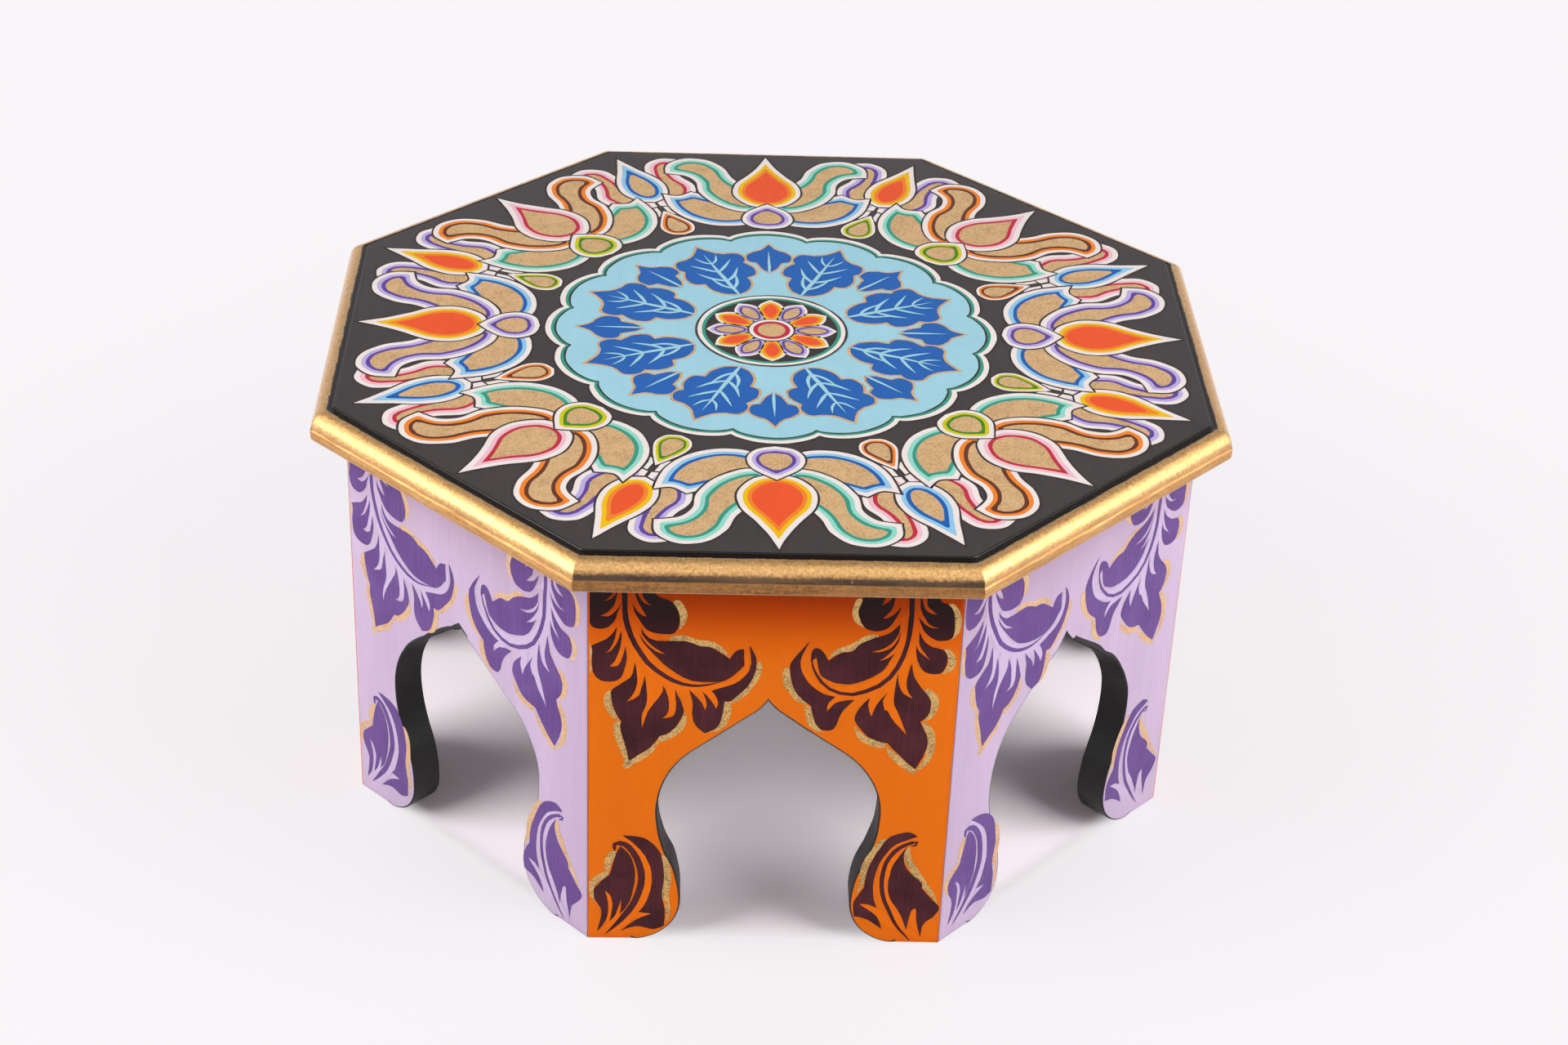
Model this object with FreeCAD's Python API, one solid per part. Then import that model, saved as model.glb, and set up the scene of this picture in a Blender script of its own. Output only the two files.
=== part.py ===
import FreeCAD, Part
import math
import os

# Low octagonal kursi stool: a moulded top board on eight mitred, arched sides.
# Millimetres. +Z is up, and the origin is on the floor under the middle of the top.
# Side 0 faces -Y, and the sides are counted anticlockwise, seen from above.

# Driving sizes of the whole stool.
OVERALL_HEIGHT = 250.0
TOP_FLATS = 491.0
TOP_THICKNESS = 18.0
TOP_OVERHANG = 18.0
PANEL_THICKNESS = 18.0

# Moulded edge of the top, from the painted field outwards and down.
FIELD_STEP = 1.8
FILLET_WIDTH = 2.5
ROUND_RADIUS = 8.5
QUIRK_DEPTH = 0.8
QUIRK_HEIGHT = 1.2
FASCIA_PROJECTION = 0.8
TOP_UNDER_EASE = 1.0
TOP_CORNER_EASE = 0.5

# Arch cut through each side: spire, straight flanks, round shoulders, waist and toe.
# The board left at each end is a half leg, narrowest at the arch's widest level,
# and a half foot, widest where the toe's round begins.
CROWN_DEPTH = 74.0
SPIRE_WIDTH = 16.0
SPIRE_HEIGHT = 9.7
SHOULDER_RISE = 62.3
SHOULDER_RADIUS = 48.5
HALF_LEG_WIDTH = 36.3
HALF_FOOT_WIDTH = 49.2
TOE_RADIUS = 26.0
LOWER_CURVE_SHARE = 0.45

# Eased outer arrises of the sides.
FOOT_EASE = 1.5
BODY_CORNER_EASE = 0.5

# Glue blocks in the inner corners, and cleats under the top.
BLOCK_SETBACK = 5.0
BLOCK_FOOT_HEIGHT = 32.0
CLEAT_WIDTH = 20.0
CLEAT_HEIGHT = 20.0
CLEAT_END_GAP = 2.0

# Countersunk wood screws, two up and two outwards in each cleat.
SCREW_LENGTH = 30.0
SCREW_DIAMETER = 4.0
SCREW_HEAD_DIAMETER = 8.0
SCREW_HEAD_HEIGHT = 2.4
SCREW_TIP_LENGTH = 4.0
SCREW_TIP_DIAMETER = 0.8
SCREW_SLOT_DEPTH = 1.2
SCREW_SLOT_WIDTH = 0.9
SCREW_SLOT_LENGTH = 4.4
SCREW_CLEARANCE = 0.1
UP_SCREW_SHARE = 0.18
OUT_SCREW_SHARE = 0.38

# One overrun serves every cut that runs past its piece.
OVERRUN = 5.0

SIDE_COUNT = 8
SIDE_ANGLE = 2 * math.pi / SIDE_COUNT
HALF_ANGLE = SIDE_ANGLE / 2
SIDE_NAMES = ["front", "front_right", "right", "back_right",
              "back", "back_left", "left", "front_left"]
UP = FreeCAD.Vector(0, 0, 1)
ORIGIN = FreeCAD.Vector(0, 0, 0)

# Sizes that follow from the driving ones.
side_height = OVERALL_HEIGHT - TOP_THICKNESS
body_apothem = TOP_FLATS / 2 - TOP_OVERHANG
inner_apothem = body_apothem - PANEL_THICKNESS
outer_half_side = body_apothem * math.tan(HALF_ANGLE)
inner_half_side = inner_apothem * math.tan(HALF_ANGLE)
arch_half_width = outer_half_side - HALF_LEG_WIDTH
waist_half_width = outer_half_side - HALF_FOOT_WIDTH
block_leg = inner_half_side - arch_half_width - BLOCK_SETBACK
cleat_length = 2 * (inner_half_side - block_leg - CLEAT_END_GAP)


def turned(shape, steps):
    """Copy of a shape made at side 0, turned about Z by a number of sides."""
    copy = shape.copy()
    copy.rotate(ORIGIN, UP, math.degrees(SIDE_ANGLE) * steps)
    return copy


def edge_through(points):
    """Line through two points, or arc through three, drawn in the XZ plane."""
    corners = [FreeCAD.Vector(across, 0, up) for across, up in points]
    if len(corners) == 2:
        return Part.LineSegment(corners[0], corners[1]).toShape()
    return Part.Arc(corners[0], corners[1], corners[2]).toShape()


def mirrored_face(right_runs):
    """Face closed by runs on the right, listed upwards, and their mirror image."""
    left_runs = [[(-across, up) for across, up in reversed(run)]
                 for run in reversed(right_runs)]
    top_right = right_runs[-1][-1]
    bottom_right = right_runs[0][0]
    runs = list(right_runs)
    if top_right[0] > 0:
        runs.append([top_right, (-top_right[0], top_right[1])])
    runs += left_runs
    runs.append([(-bottom_right[0], bottom_right[1]), bottom_right])
    return Part.Face(Part.Wire([edge_through(run) for run in runs]))


def strip(right_runs, length, angle):
    """Bar of mirrored section, centred on the axis and turned by an angle."""
    bar = mirrored_face(right_runs).extrude(FreeCAD.Vector(0, length, 0))
    bar.translate(FreeCAD.Vector(0, -length / 2, 0))
    bar.rotate(ORIGIN, UP, math.degrees(angle))
    return bar


def octagon_with_edge(edge_runs, across_corners, corner_ease):
    """Solid whose eight sides carry one edge section, with eased plan corners."""
    length = across_corners + 2 * OVERRUN
    solid = None
    for turn in range(SIDE_COUNT):
        angle = turn * HALF_ANGLE
        runs = edge_runs
        if turn % 2:
            runs = [[(across / math.cos(HALF_ANGLE) - corner_ease, up)
                     for across, up in run] for run in edge_runs]
        bar = strip(runs, length, angle)
        solid = bar if solid is None else solid.common(bar)
    return solid.removeSplitter()


def top_edge_runs():
    """Section of the top's edge: eased foot, fascia, quirk, round, fillet, field."""
    fascia = TOP_FLATS / 2
    round_side = fascia - FASCIA_PROJECTION
    fillet_outer = round_side - ROUND_RADIUS
    field_edge = fillet_outer - FILLET_WIDTH
    fillet_level = OVERALL_HEIGHT - FIELD_STEP
    round_foot = fillet_level - ROUND_RADIUS
    fascia_top = round_foot - QUIRK_HEIGHT
    quirk_level = (round_foot + fascia_top) / 2
    diagonal = ROUND_RADIUS * math.sin(math.pi / 4)
    return [
        [(fascia - TOP_UNDER_EASE, side_height), (fascia, side_height + TOP_UNDER_EASE)],
        [(fascia, side_height + TOP_UNDER_EASE), (fascia, fascia_top)],
        [(fascia, fascia_top), (round_side - QUIRK_DEPTH, quirk_level)],
        [(round_side - QUIRK_DEPTH, quirk_level), (round_side, round_foot)],
        [(round_side, round_foot), (fillet_outer + diagonal, round_foot + diagonal),
         (fillet_outer, fillet_level)],
        [(fillet_outer, fillet_level), (field_edge, fillet_level)],
        [(field_edge, fillet_level), (field_edge, OVERALL_HEIGHT)],
    ]


def arch_runs():
    """Right half of the arch, from the toe on the floor up to the apex."""
    waist = waist_half_width
    widest = arch_half_width
    toe = waist + TOE_RADIUS
    toe_diagonal = TOE_RADIUS * math.sin(math.pi / 4)
    apex = side_height - CROWN_DEPTH
    spire_foot = (SPIRE_WIDTH / 2, apex - SPIRE_HEIGHT)
    widest_level = spire_foot[1] - SHOULDER_RISE
    rise = widest_level - TOE_RADIUS
    swing = 2 * math.atan2(widest - waist, rise)
    radius_sum = rise / math.sin(swing)
    lower = LOWER_CURVE_SHARE * radius_sum
    upper = radius_sum - lower

    def on_lower(turn):
        return (waist + lower * (1 - math.cos(turn)), TOE_RADIUS + lower * math.sin(turn))

    def on_upper(turn):
        return (widest - upper * (1 - math.cos(turn)), widest_level - upper * math.sin(turn))

    centre = (widest - SHOULDER_RADIUS, widest_level)
    reach = math.dist(centre, spire_foot)
    bearing = math.atan2(spire_foot[1] - centre[1], spire_foot[0] - centre[0])
    tangent = bearing - math.acos(SHOULDER_RADIUS / reach)

    def on_shoulder(turn):
        return (centre[0] + SHOULDER_RADIUS * math.cos(turn),
                centre[1] + SHOULDER_RADIUS * math.sin(turn))

    return [
        [(toe, -OVERRUN), (toe, 0)],
        [(toe, 0), (toe - toe_diagonal, TOE_RADIUS - toe_diagonal), (waist, TOE_RADIUS)],
        [(waist, TOE_RADIUS), on_lower(swing / 2), on_lower(swing)],
        [on_lower(swing), on_upper(swing / 2), (widest, widest_level)],
        [(widest, widest_level), on_shoulder(tangent / 2), on_shoulder(tangent)],
        [on_shoulder(tangent), spire_foot],
        [spire_foot, spire_middle(spire_foot, on_shoulder(tangent), (0, apex)), (0, apex)],
    ]


def spire_middle(foot, before, apex):
    """Middle of the arc that leaves the flank smoothly at the spire's foot."""
    flank = math.atan2(foot[1] - before[1], foot[0] - before[0])
    chord = math.atan2(apex[1] - foot[1], apex[0] - foot[0])
    bend = (flank - chord) / 2
    half_chord = math.dist(foot, apex) / 2
    rise = half_chord * math.tan(bend)
    middle = ((foot[0] + apex[0]) / 2, (foot[1] + apex[1]) / 2)
    return (middle[0] - rise * math.sin(chord), middle[1] + rise * math.cos(chord))


def screw_blank(clearance, head_overrun):
    """Turned screw along +Z from its head at z = 0, grown all round by a clearance."""
    head = SCREW_HEAD_DIAMETER / 2 + clearance
    shank = SCREW_DIAMETER / 2 + clearance
    tip = SCREW_TIP_DIAMETER / 2 + clearance
    end = SCREW_LENGTH + clearance
    start = [(0, 0)]
    if head_overrun:
        start = [(0, -head_overrun), (head, -head_overrun)]
    outline = start + [(head, 0), (shank, SCREW_HEAD_HEIGHT),
                       (shank, SCREW_LENGTH - SCREW_TIP_LENGTH), (tip, end), (0, end)]
    corners = [FreeCAD.Vector(across, 0, up) for across, up in outline]
    section = Part.Face(Part.makePolygon(corners + [corners[0]]))
    return section.revolve(ORIGIN, UP, 360)


def screw():
    """Countersunk wood screw along +Z with a crossed slot in its head."""
    body = screw_blank(0, 0)
    for turn in range(2):
        slot = Part.makeBox(SCREW_SLOT_LENGTH, SCREW_SLOT_WIDTH, SCREW_SLOT_DEPTH + OVERRUN)
        slot.translate(FreeCAD.Vector(-SCREW_SLOT_LENGTH / 2, -SCREW_SLOT_WIDTH / 2, -OVERRUN))
        slot.rotate(ORIGIN, UP, 90 * turn)
        body = body.cut(slot)
    return body


def upward(shape, along):
    """Place a screw shape so that it rises through side 0's cleat into the top."""
    copy = shape.copy()
    depth = inner_apothem - CLEAT_WIDTH / 2
    copy.translate(FreeCAD.Vector(along, -depth, side_height - CLEAT_HEIGHT))
    return copy


def outward(shape, along):
    """Place a screw shape so that it runs through side 0's cleat into the side."""
    copy = shape.copy()
    copy.rotate(ORIGIN, FreeCAD.Vector(1, 0, 0), 90)
    start = inner_apothem - CLEAT_WIDTH
    copy.translate(FreeCAD.Vector(along, -start, side_height - CLEAT_HEIGHT / 2))
    return copy


def cleat_screws_at(shape, upwards, outwards):
    """The chosen screw places of side 0's cleat, each holding a copy of a shape."""
    placed = []
    for sign in (-1, 1):
        if upwards:
            placed.append(upward(shape, sign * UP_SCREW_SHARE * cleat_length))
        if outwards:
            placed.append(outward(shape, sign * OUT_SCREW_SHARE * cleat_length))
    return placed


def top_board():
    """Moulded octagonal board with blind holes for the cleats' screws."""
    across_corners = TOP_FLATS / math.cos(HALF_ANGLE)
    board = octagon_with_edge(top_edge_runs(), across_corners, TOP_CORNER_EASE)
    cavity = screw_blank(SCREW_CLEARANCE, OVERRUN)
    holes = [turned(hole, step) for step in range(SIDE_COUNT)
             for hole in cleat_screws_at(cavity, True, False)]
    return board.cut(holes)


def body_envelope():
    """Octagonal prism that eases the feet and the outer corners of the sides."""
    edge_runs = [
        [(body_apothem - FOOT_EASE, 0), (body_apothem, FOOT_EASE)],
        [(body_apothem, FOOT_EASE), (body_apothem, side_height)],
    ]
    across_corners = 2 * body_apothem / math.cos(HALF_ANGLE)
    return octagon_with_edge(edge_runs, across_corners, BODY_CORNER_EASE)


def side_panel():
    """Side 0: board with mitred ends, a pointed arch, half feet and screw holes."""
    plan = [(-outer_half_side, -body_apothem), (outer_half_side, -body_apothem),
            (inner_half_side, -inner_apothem), (-inner_half_side, -inner_apothem)]
    corners = [FreeCAD.Vector(across, deep, 0) for across, deep in plan]
    footprint = Part.Face(Part.makePolygon(corners + [corners[0]]))
    board = footprint.extrude(FreeCAD.Vector(0, 0, side_height))
    arch = mirrored_face(arch_runs()).extrude(FreeCAD.Vector(0, PANEL_THICKNESS + 2 * OVERRUN, 0))
    arch.translate(FreeCAD.Vector(0, -body_apothem - OVERRUN, 0))
    cavity = screw_blank(SCREW_CLEARANCE, OVERRUN)
    board = board.common(body_envelope())
    return board.cut([arch] + cleat_screws_at(cavity, False, True))


def corner_block():
    """Triangular glue block in the inner corner between side 0 and side 1."""
    tip = inner_apothem / math.cos(HALF_ANGLE)
    back = block_leg * math.sin(HALF_ANGLE)
    half_width = block_leg * math.cos(HALF_ANGLE)
    plan = [(tip, 0), (tip - back, half_width), (tip - back, -half_width)]
    corners = [FreeCAD.Vector(out, across, BLOCK_FOOT_HEIGHT) for out, across in plan]
    section = Part.Face(Part.makePolygon(corners + [corners[0]]))
    block = section.extrude(FreeCAD.Vector(0, 0, side_height - BLOCK_FOOT_HEIGHT))
    block.rotate(ORIGIN, UP, -90 + math.degrees(HALF_ANGLE))
    return block


def cleat():
    """Square batten under the top, along the inner face of side 0."""
    batten = Part.makeBox(cleat_length, CLEAT_WIDTH, CLEAT_HEIGHT)
    batten.translate(FreeCAD.Vector(-cleat_length / 2, -inner_apothem,
                                    side_height - CLEAT_HEIGHT))
    cavity = screw_blank(SCREW_CLEARANCE, OVERRUN)
    return batten.cut(cleat_screws_at(cavity, True, True))


def cleat_screws():
    """All the stool's screws, as separate solids in one group."""
    one_side = cleat_screws_at(screw(), True, True)
    return Part.makeCompound([turned(piece, step) for step in range(SIDE_COUNT)
                              for piece in one_side])


def export(name, shape):
    """Write one sub-part and say what it holds."""
    shape.exportStep("parts/" + name + ".step")
    print(name, len(shape.Solids), "solid(s)", round(shape.Volume), "mm3",
          "valid" if shape.isValid() else "NOT VALID")


os.makedirs("parts", exist_ok=True)
export("top_board", top_board())
panel = side_panel()
block = corner_block()
batten = cleat()
for step, side in enumerate(SIDE_NAMES):
    export("side_" + side, turned(panel, step))
    export("cleat_" + side, turned(batten, step))
    export("corner_block_" + str(step + 1), turned(block, step))
export("cleat_screws", cleat_screws())
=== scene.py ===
import math
import random

import bpy
import bmesh
from mathutils import Matrix, Vector, noise


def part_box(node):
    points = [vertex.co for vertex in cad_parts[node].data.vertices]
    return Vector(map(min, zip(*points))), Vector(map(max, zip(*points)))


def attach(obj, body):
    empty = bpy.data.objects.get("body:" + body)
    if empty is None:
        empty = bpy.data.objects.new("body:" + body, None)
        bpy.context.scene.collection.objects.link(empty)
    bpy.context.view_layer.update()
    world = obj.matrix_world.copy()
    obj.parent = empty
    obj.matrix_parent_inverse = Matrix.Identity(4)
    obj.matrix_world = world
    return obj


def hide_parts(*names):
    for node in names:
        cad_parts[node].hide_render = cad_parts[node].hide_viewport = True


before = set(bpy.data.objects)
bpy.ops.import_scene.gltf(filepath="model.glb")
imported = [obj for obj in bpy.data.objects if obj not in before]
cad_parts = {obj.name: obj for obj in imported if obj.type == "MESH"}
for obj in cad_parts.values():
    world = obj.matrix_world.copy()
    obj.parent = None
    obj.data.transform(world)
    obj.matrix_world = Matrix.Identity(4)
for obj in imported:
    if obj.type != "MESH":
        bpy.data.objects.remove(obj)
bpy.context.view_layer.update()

# Side boards: eight 18 mm boards, mitred and glued at the corners, each with a pointed arch
# sawn by hand. The faces are brushed orange and lilac in turn over a coat of satin black,
# which still shows on the sawn edges and the backs.

MM = 0.001
SIDES = ["front", "front_right", "right", "back_right", "back", "back_left", "left", "front_left"]
EIGHTH = math.pi / 4
MITRE = math.tan(EIGHTH / 2)

side_low, side_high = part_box("side_front")
board_face = -side_low.y
board_thickness = board_face + side_high.y
board_height = side_high.z
half_side = board_face * MITRE

arch_top = board_height - 74.0 * MM
spire_half_width = 8.0 * MM
spire_height = 9.7 * MM
shoulder_rise = 62.3 * MM
shoulder_radius = 48.5 * MM
arch_half_width = half_side - 36.3 * MM
waist_half_width = half_side - 49.2 * MM
toe_radius = 26.0 * MM
lower_curve_share = 0.45
flank_steps = 6
spire_steps = 6

# Where the hand saw strayed: the apex's shift sideways and up, the whole arch's shift, and
# how much of the spire was cut.
saw_drift = {
    "front": (-2.2 * MM, -0.4 * MM, 0.0, 0.9),
    "front_left": (-3.6 * MM, -3.0 * MM, -1.9 * MM, 0.4),
    "front_right": (-4.4 * MM, 3.2 * MM, -2.0 * MM, 0.9),
    "back": (1.8 * MM, 1.0 * MM, 0.6 * MM, 1.0),
    "back_left": (-1.2 * MM, -1.5 * MM, 1.1 * MM, 0.7),
    "back_right": (2.4 * MM, 0.5 * MM, -0.8 * MM, 1.0),
    "left": (1.0 * MM, 2.0 * MM, -0.7 * MM, 0.9),
    "right": (-1.5 * MM, -1.0 * MM, 0.9 * MM, 0.8),
}
# How much wider the rasp left the black arris beside the apex, right of it or left (minus).
rasped = {"front": 0.3 * MM, "front_left": -3.0 * MM, "front_right": 3.6 * MM, "back": -1.2 * MM,
          "back_left": 1.0 * MM, "back_right": -1.8 * MM, "left": 0.8 * MM, "right": -1.4 * MM}
straying_from = 0.55
rasped_from = 0.72
rasped_fully = 0.86
saw_ripple = 0.35 * MM
arris_radius = 1.8 * MM
arch_ease = 1.0 * MM
foot_ease = 1.6 * MM
ease_steps = 4


def arc(centre, radius, start, end, count):
    """Points of an arc after its first one, angles in radians."""
    turns = [start + (end - start) * step / count for step in range(1, count + 1)]
    return [(centre[0] + radius * math.cos(t), centre[1] + radius * math.sin(t)) for t in turns]


def half_arch():
    """Right half of the arch, from the toe on the floor up to the apex."""
    toe = waist_half_width + toe_radius
    widest_level = arch_top - spire_height - shoulder_rise
    rise = widest_level - toe_radius
    swing = 2 * math.atan2(arch_half_width - waist_half_width, rise)
    radii = rise / math.sin(swing)
    lower = lower_curve_share * radii
    upper = radii - lower
    shoulder = (arch_half_width - shoulder_radius, widest_level)
    spire_foot = (spire_half_width, arch_top - spire_height)
    reach = math.dist(shoulder, spire_foot)
    bearing = math.atan2(spire_foot[1] - shoulder[1], spire_foot[0] - shoulder[0])
    tangent = bearing - math.acos(shoulder_radius / reach)
    points = [(toe, 0.0)]
    points += arc((toe, toe_radius), toe_radius, -math.pi / 2, -math.pi, 12)
    points += arc((waist_half_width + lower, toe_radius), lower, math.pi, math.pi - swing, 9)
    points += arc((arch_half_width - upper, widest_level), upper, -swing, 0.0, 11)
    points += arc(shoulder, shoulder_radius, 0.0, tangent, 13)
    flank_end = points[-1]
    for step in range(1, flank_steps + 1):
        share = step / flank_steps
        points.append((flank_end[0] + (spire_foot[0] - flank_end[0]) * share,
                       flank_end[1] + (spire_foot[1] - flank_end[1]) * share))
    for step in range(1, spire_steps + 1):
        share = step / spire_steps
        points.append((spire_half_width * (1 - share),
                       spire_foot[1] + spire_height * (0.55 * share + 0.45 * share ** 2)))
    return points


def board_outline(side):
    """Outline of one side board, anticlockwise from its top right, and each edge's kind."""
    right = half_arch()
    arch = right + [(-across, up) for across, up in reversed(right[:-1])]
    apex_shift, apex_lift, whole_shift, spire_share = saw_drift[side]
    seed = SIDES.index(side) * 7.3
    sawn = []
    for across, up in arch:
        near_apex = max(0.0, min(1.0, (up / arch_top - straying_from) / (1 - straying_from)))
        near_apex = near_apex * near_apex * (3 - 2 * near_apex)
        clear_of_floor = min(1.0, up / toe_radius)
        across += clear_of_floor * (whole_shift + near_apex * apex_shift)
        up -= max(0.0, up - arch_top + spire_height) * (1 - spire_share)
        up += near_apex * apex_lift
        ripple = noise.noise(Vector((across * 90, up * 90, seed))) * clear_of_floor
        sawn.append((across + saw_ripple * ripple, up + 0.6 * saw_ripple * ripple))
    points = [(half_side, board_height), (-half_side, board_height), (-half_side, 0.0)]
    kinds = ["top", "mitre", "floor"]
    points += reversed(sawn)
    kinds += ["arch"] * (len(sawn) - 1) + ["floor"]
    points.append((half_side, 0.0))
    kinds.append("mitre")
    return points, kinds


def arch_arris(point, rasp):
    """Radius of the sawn edge's rounding, which the rasp widened beside the apex."""
    share = (point[1] / arch_top - rasped_from) / (rasped_fully - rasped_from)
    beside_apex = max(0.0, min(1.0, share))
    uneven = 0.8 + 0.5 * noise.noise(Vector((point[0] * 110, point[1] * 110, 2.0)))
    return arch_ease + abs(rasp) * beside_apex * uneven * (1.0 if point[0] * rasp > 0 else 0.1)


def board_eases(kind, share, arris):
    """How far in and how deep an edge's rounding is, from the face (0) to its end (1)."""
    if kind == "mitre":
        turn = share * EIGHTH / 2
        return (arris_radius * (MITRE - math.sin(turn)), arris_radius * (1 - math.cos(turn)))
    radius = {"arch": arris, "floor": foot_ease, "top": 0.0}[kind]
    turn = share * math.pi / 2
    return (radius * (1 - math.sin(turn)), radius * (1 - math.cos(turn)))


def board_ring(points, kinds, share, rasp):
    """One ring of the rounded border of a board's face, as places in side 0's frame."""
    ring = []
    for index, point in enumerate(points):
        before, after = kinds[index - 1], kinds[index]
        previous, following = points[index - 1], points[(index + 1) % len(points)]
        into, out_of = Vector(point) - Vector(previous), Vector(following) - Vector(point)
        first = Vector((-into.y, into.x)).normalized()
        second = Vector((-out_of.y, out_of.x)).normalized()
        arris = arch_arris(point, rasp)
        inset_before, depth_before = board_eases(before, share, arris)
        inset_after, depth_after = board_eases(after, share, arris)
        bisector = first + second
        spread = max(0.3, bisector.length_squared / 2)
        if before == after:
            shift = bisector * (inset_before / spread)
        else:
            shift = first * inset_before + second * inset_after
        depth = max(depth_before, depth_after)
        across, up = point[0] + shift.x, point[1] + shift.y
        if "mitre" in (before, after):
            limit = half_side - max(depth * MITRE, board_eases("mitre", share, 0.0)[0])
            across = math.copysign(limit, point[0])
        ring.append(Vector((across, -board_face + depth, up)))
    return ring


def build_board(side):
    """Mesh of a side board: eased face in material 0, edges and back in material 1."""
    points, kinds = board_outline(side)
    rings = [board_ring(points, kinds, step / ease_steps, rasped[side])
             for step in range(ease_steps + 1)]
    back = []
    for index, point in enumerate(points):
        across = point[0]
        if "mitre" in (kinds[index - 1], kinds[index]):
            across = math.copysign(half_side - board_thickness * MITRE, across)
        back.append(Vector((across, -board_face + board_thickness, point[1])))
    rings.append(back)
    mesh = bmesh.new()
    loops = [[mesh.verts.new(place) for place in ring] for ring in rings]
    count = len(points)
    mesh.faces.new(loops[0])
    for step in range(len(loops) - 1):
        for index in range(count):
            following = (index + 1) % count
            face = mesh.faces.new([loops[step][index], loops[step + 1][index],
                                   loops[step + 1][following], loops[step][following]])
            painted = kinds[index] in ("mitre", "floor", "top")
            face.material_index = 0 if painted and step < ease_steps else 1
    mesh.faces.new(list(reversed(loops[-1]))).material_index = 1
    bmesh.ops.recalc_face_normals(mesh, faces=mesh.faces)
    return mesh


def place_mesh(name, mesh, materials, sharp_angle=35):
    """Object of a bmesh, smooth but for edges sharper than an angle in degrees."""
    data = bpy.data.meshes.new(name)
    mesh.to_mesh(data)
    mesh.free()
    for material in materials:
        data.materials.append(material)
    data.polygons.foreach_set("use_smooth", [True] * len(data.polygons))
    data.set_sharp_from_angle(angle=math.radians(sharp_angle))
    made = bpy.data.objects.new(name, data)
    bpy.context.scene.collection.objects.link(made)
    return made


class Shade:
    """An output in a material. Arithmetic on it adds Math nodes, and node() adds any other."""

    def __init__(self, tree, output=None):
        self.tree = tree
        self.output = output

    def node(self, kind, settings=None, inputs=None, out=0):
        made = self.tree.nodes.new("ShaderNode" + kind)
        for name, value in (settings or {}).items():
            if name == "stops":
                stops = made.color_ramp.elements
                while len(stops) < len(value):
                    stops.new(1.0)
                for stop, (position, colour) in zip(stops, value):
                    stop.position = position
                    stop.color = colour
            else:
                setattr(made, name, value)
        for name, value in (inputs or {}).items():
            if isinstance(value, Shade):
                self.tree.links.new(value.output, made.inputs[name])
            else:
                made.inputs[name].default_value = value
        return Shade(self.tree, made.outputs[out] if made.outputs else None)

    def math(self, operation, first, second=0.0):
        return self.node("Math", {"operation": operation}, {0: first, 1: second})

    def __add__(self, other):
        return self.math("ADD", self, other)

    __radd__ = __add__

    def __sub__(self, other):
        return self.math("SUBTRACT", self, other)

    def __rsub__(self, other):
        return self.math("SUBTRACT", other, self)

    def __mul__(self, other):
        return self.math("MULTIPLY", self, other)

    __rmul__ = __mul__

    def __abs__(self):
        return self.math("ABSOLUTE", self)

    def __pow__(self, other):
        return self.math("POWER", self, other)

    def between(self, low, high):
        """Smooth rise from 0 at low to 1 at high."""
        return self.node("MapRange", {"interpolation_type": "SMOOTHSTEP"},
                         {"Value": self, "From Min": low, "From Max": high})

    def blend(self, first, second):
        """Colour that goes from first to second as this value goes from 0 to 1."""
        return self.node("Mix", {"data_type": "RGBA"}, {0: self, 6: first, 7: second}, 2)

    def part(self, axis):
        """One part of this vector."""
        return self.node("SeparateXYZ", {}, {0: self}, axis)

    def stretched(self, across, deep, up):
        """This vector with each of its three parts multiplied."""
        return self.node("VectorMath", {"operation": "MULTIPLY"}, {0: self, 1: (across, deep, up)})

    def grain(self, scale, detail=3.0, roughness=0.5, seed=0.0):
        """Noise from 0 to 1 over this vector."""
        return self.node("TexNoise", {"noise_dimensions": "4D"},
                         {"Vector": self, "W": seed, "Scale": scale, "Detail": detail,
                          "Roughness": roughness})

    def bump(self, height, distance, strength=1.0):
        """Normal raised by a height from 0 to 1 times a distance in metres."""
        return self.node("Bump", {}, {"Strength": strength, "Distance": distance,
                                      "Height": height})


def srgb(red, green, blue):
    """Linear colour of a paint whose screen colour is given from 0 to 255."""
    parts = [part / 255 for part in (red, green, blue)]
    return tuple(part / 12.92 if part <= 0.04045 else ((part + 0.055) / 1.055) ** 2.4
                 for part in parts) + (1.0,)


def new_material(name):
    """Empty material, a Shade to start its nodes from, and the place in the object."""
    material = bpy.data.materials.new(name)
    material.use_nodes = True
    material.node_tree.nodes.clear()
    start = Shade(material.node_tree)
    return material, start, start.node("TexCoord", {}, {}, "Object")


def coat(start, inputs):
    """Principled surface with the given sockets, set as the material's surface."""
    surface = start.node("BsdfPrincipled", {}, inputs)
    start.node("OutputMaterial", {}, {"Surface": surface})


def shade_under_moulding(place, colour, paint, depth):
    """Painted shade of the moulding's overhang, partly dirt: a paint darker and redder towards it."""
    height = place.part("Z")
    near = height.between(board_height - 60 * MM, board_height - 6 * MM)
    # The two darker colours below are painted shade under the overhang, in part a dirtier paint.
    deep = (paint[0] * 0.62, paint[1] * 0.22, paint[2] * 0.30, 1.0)
    dirt_and_shade = (paint[0] * 0.33, paint[1] * 0.22, paint[2] * 0.25, 1.0)
    colour = (near * depth).blend(colour, deep)
    return (near ** 3 * (depth * 0.8)).blend(colour, dirt_and_shade)


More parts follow.
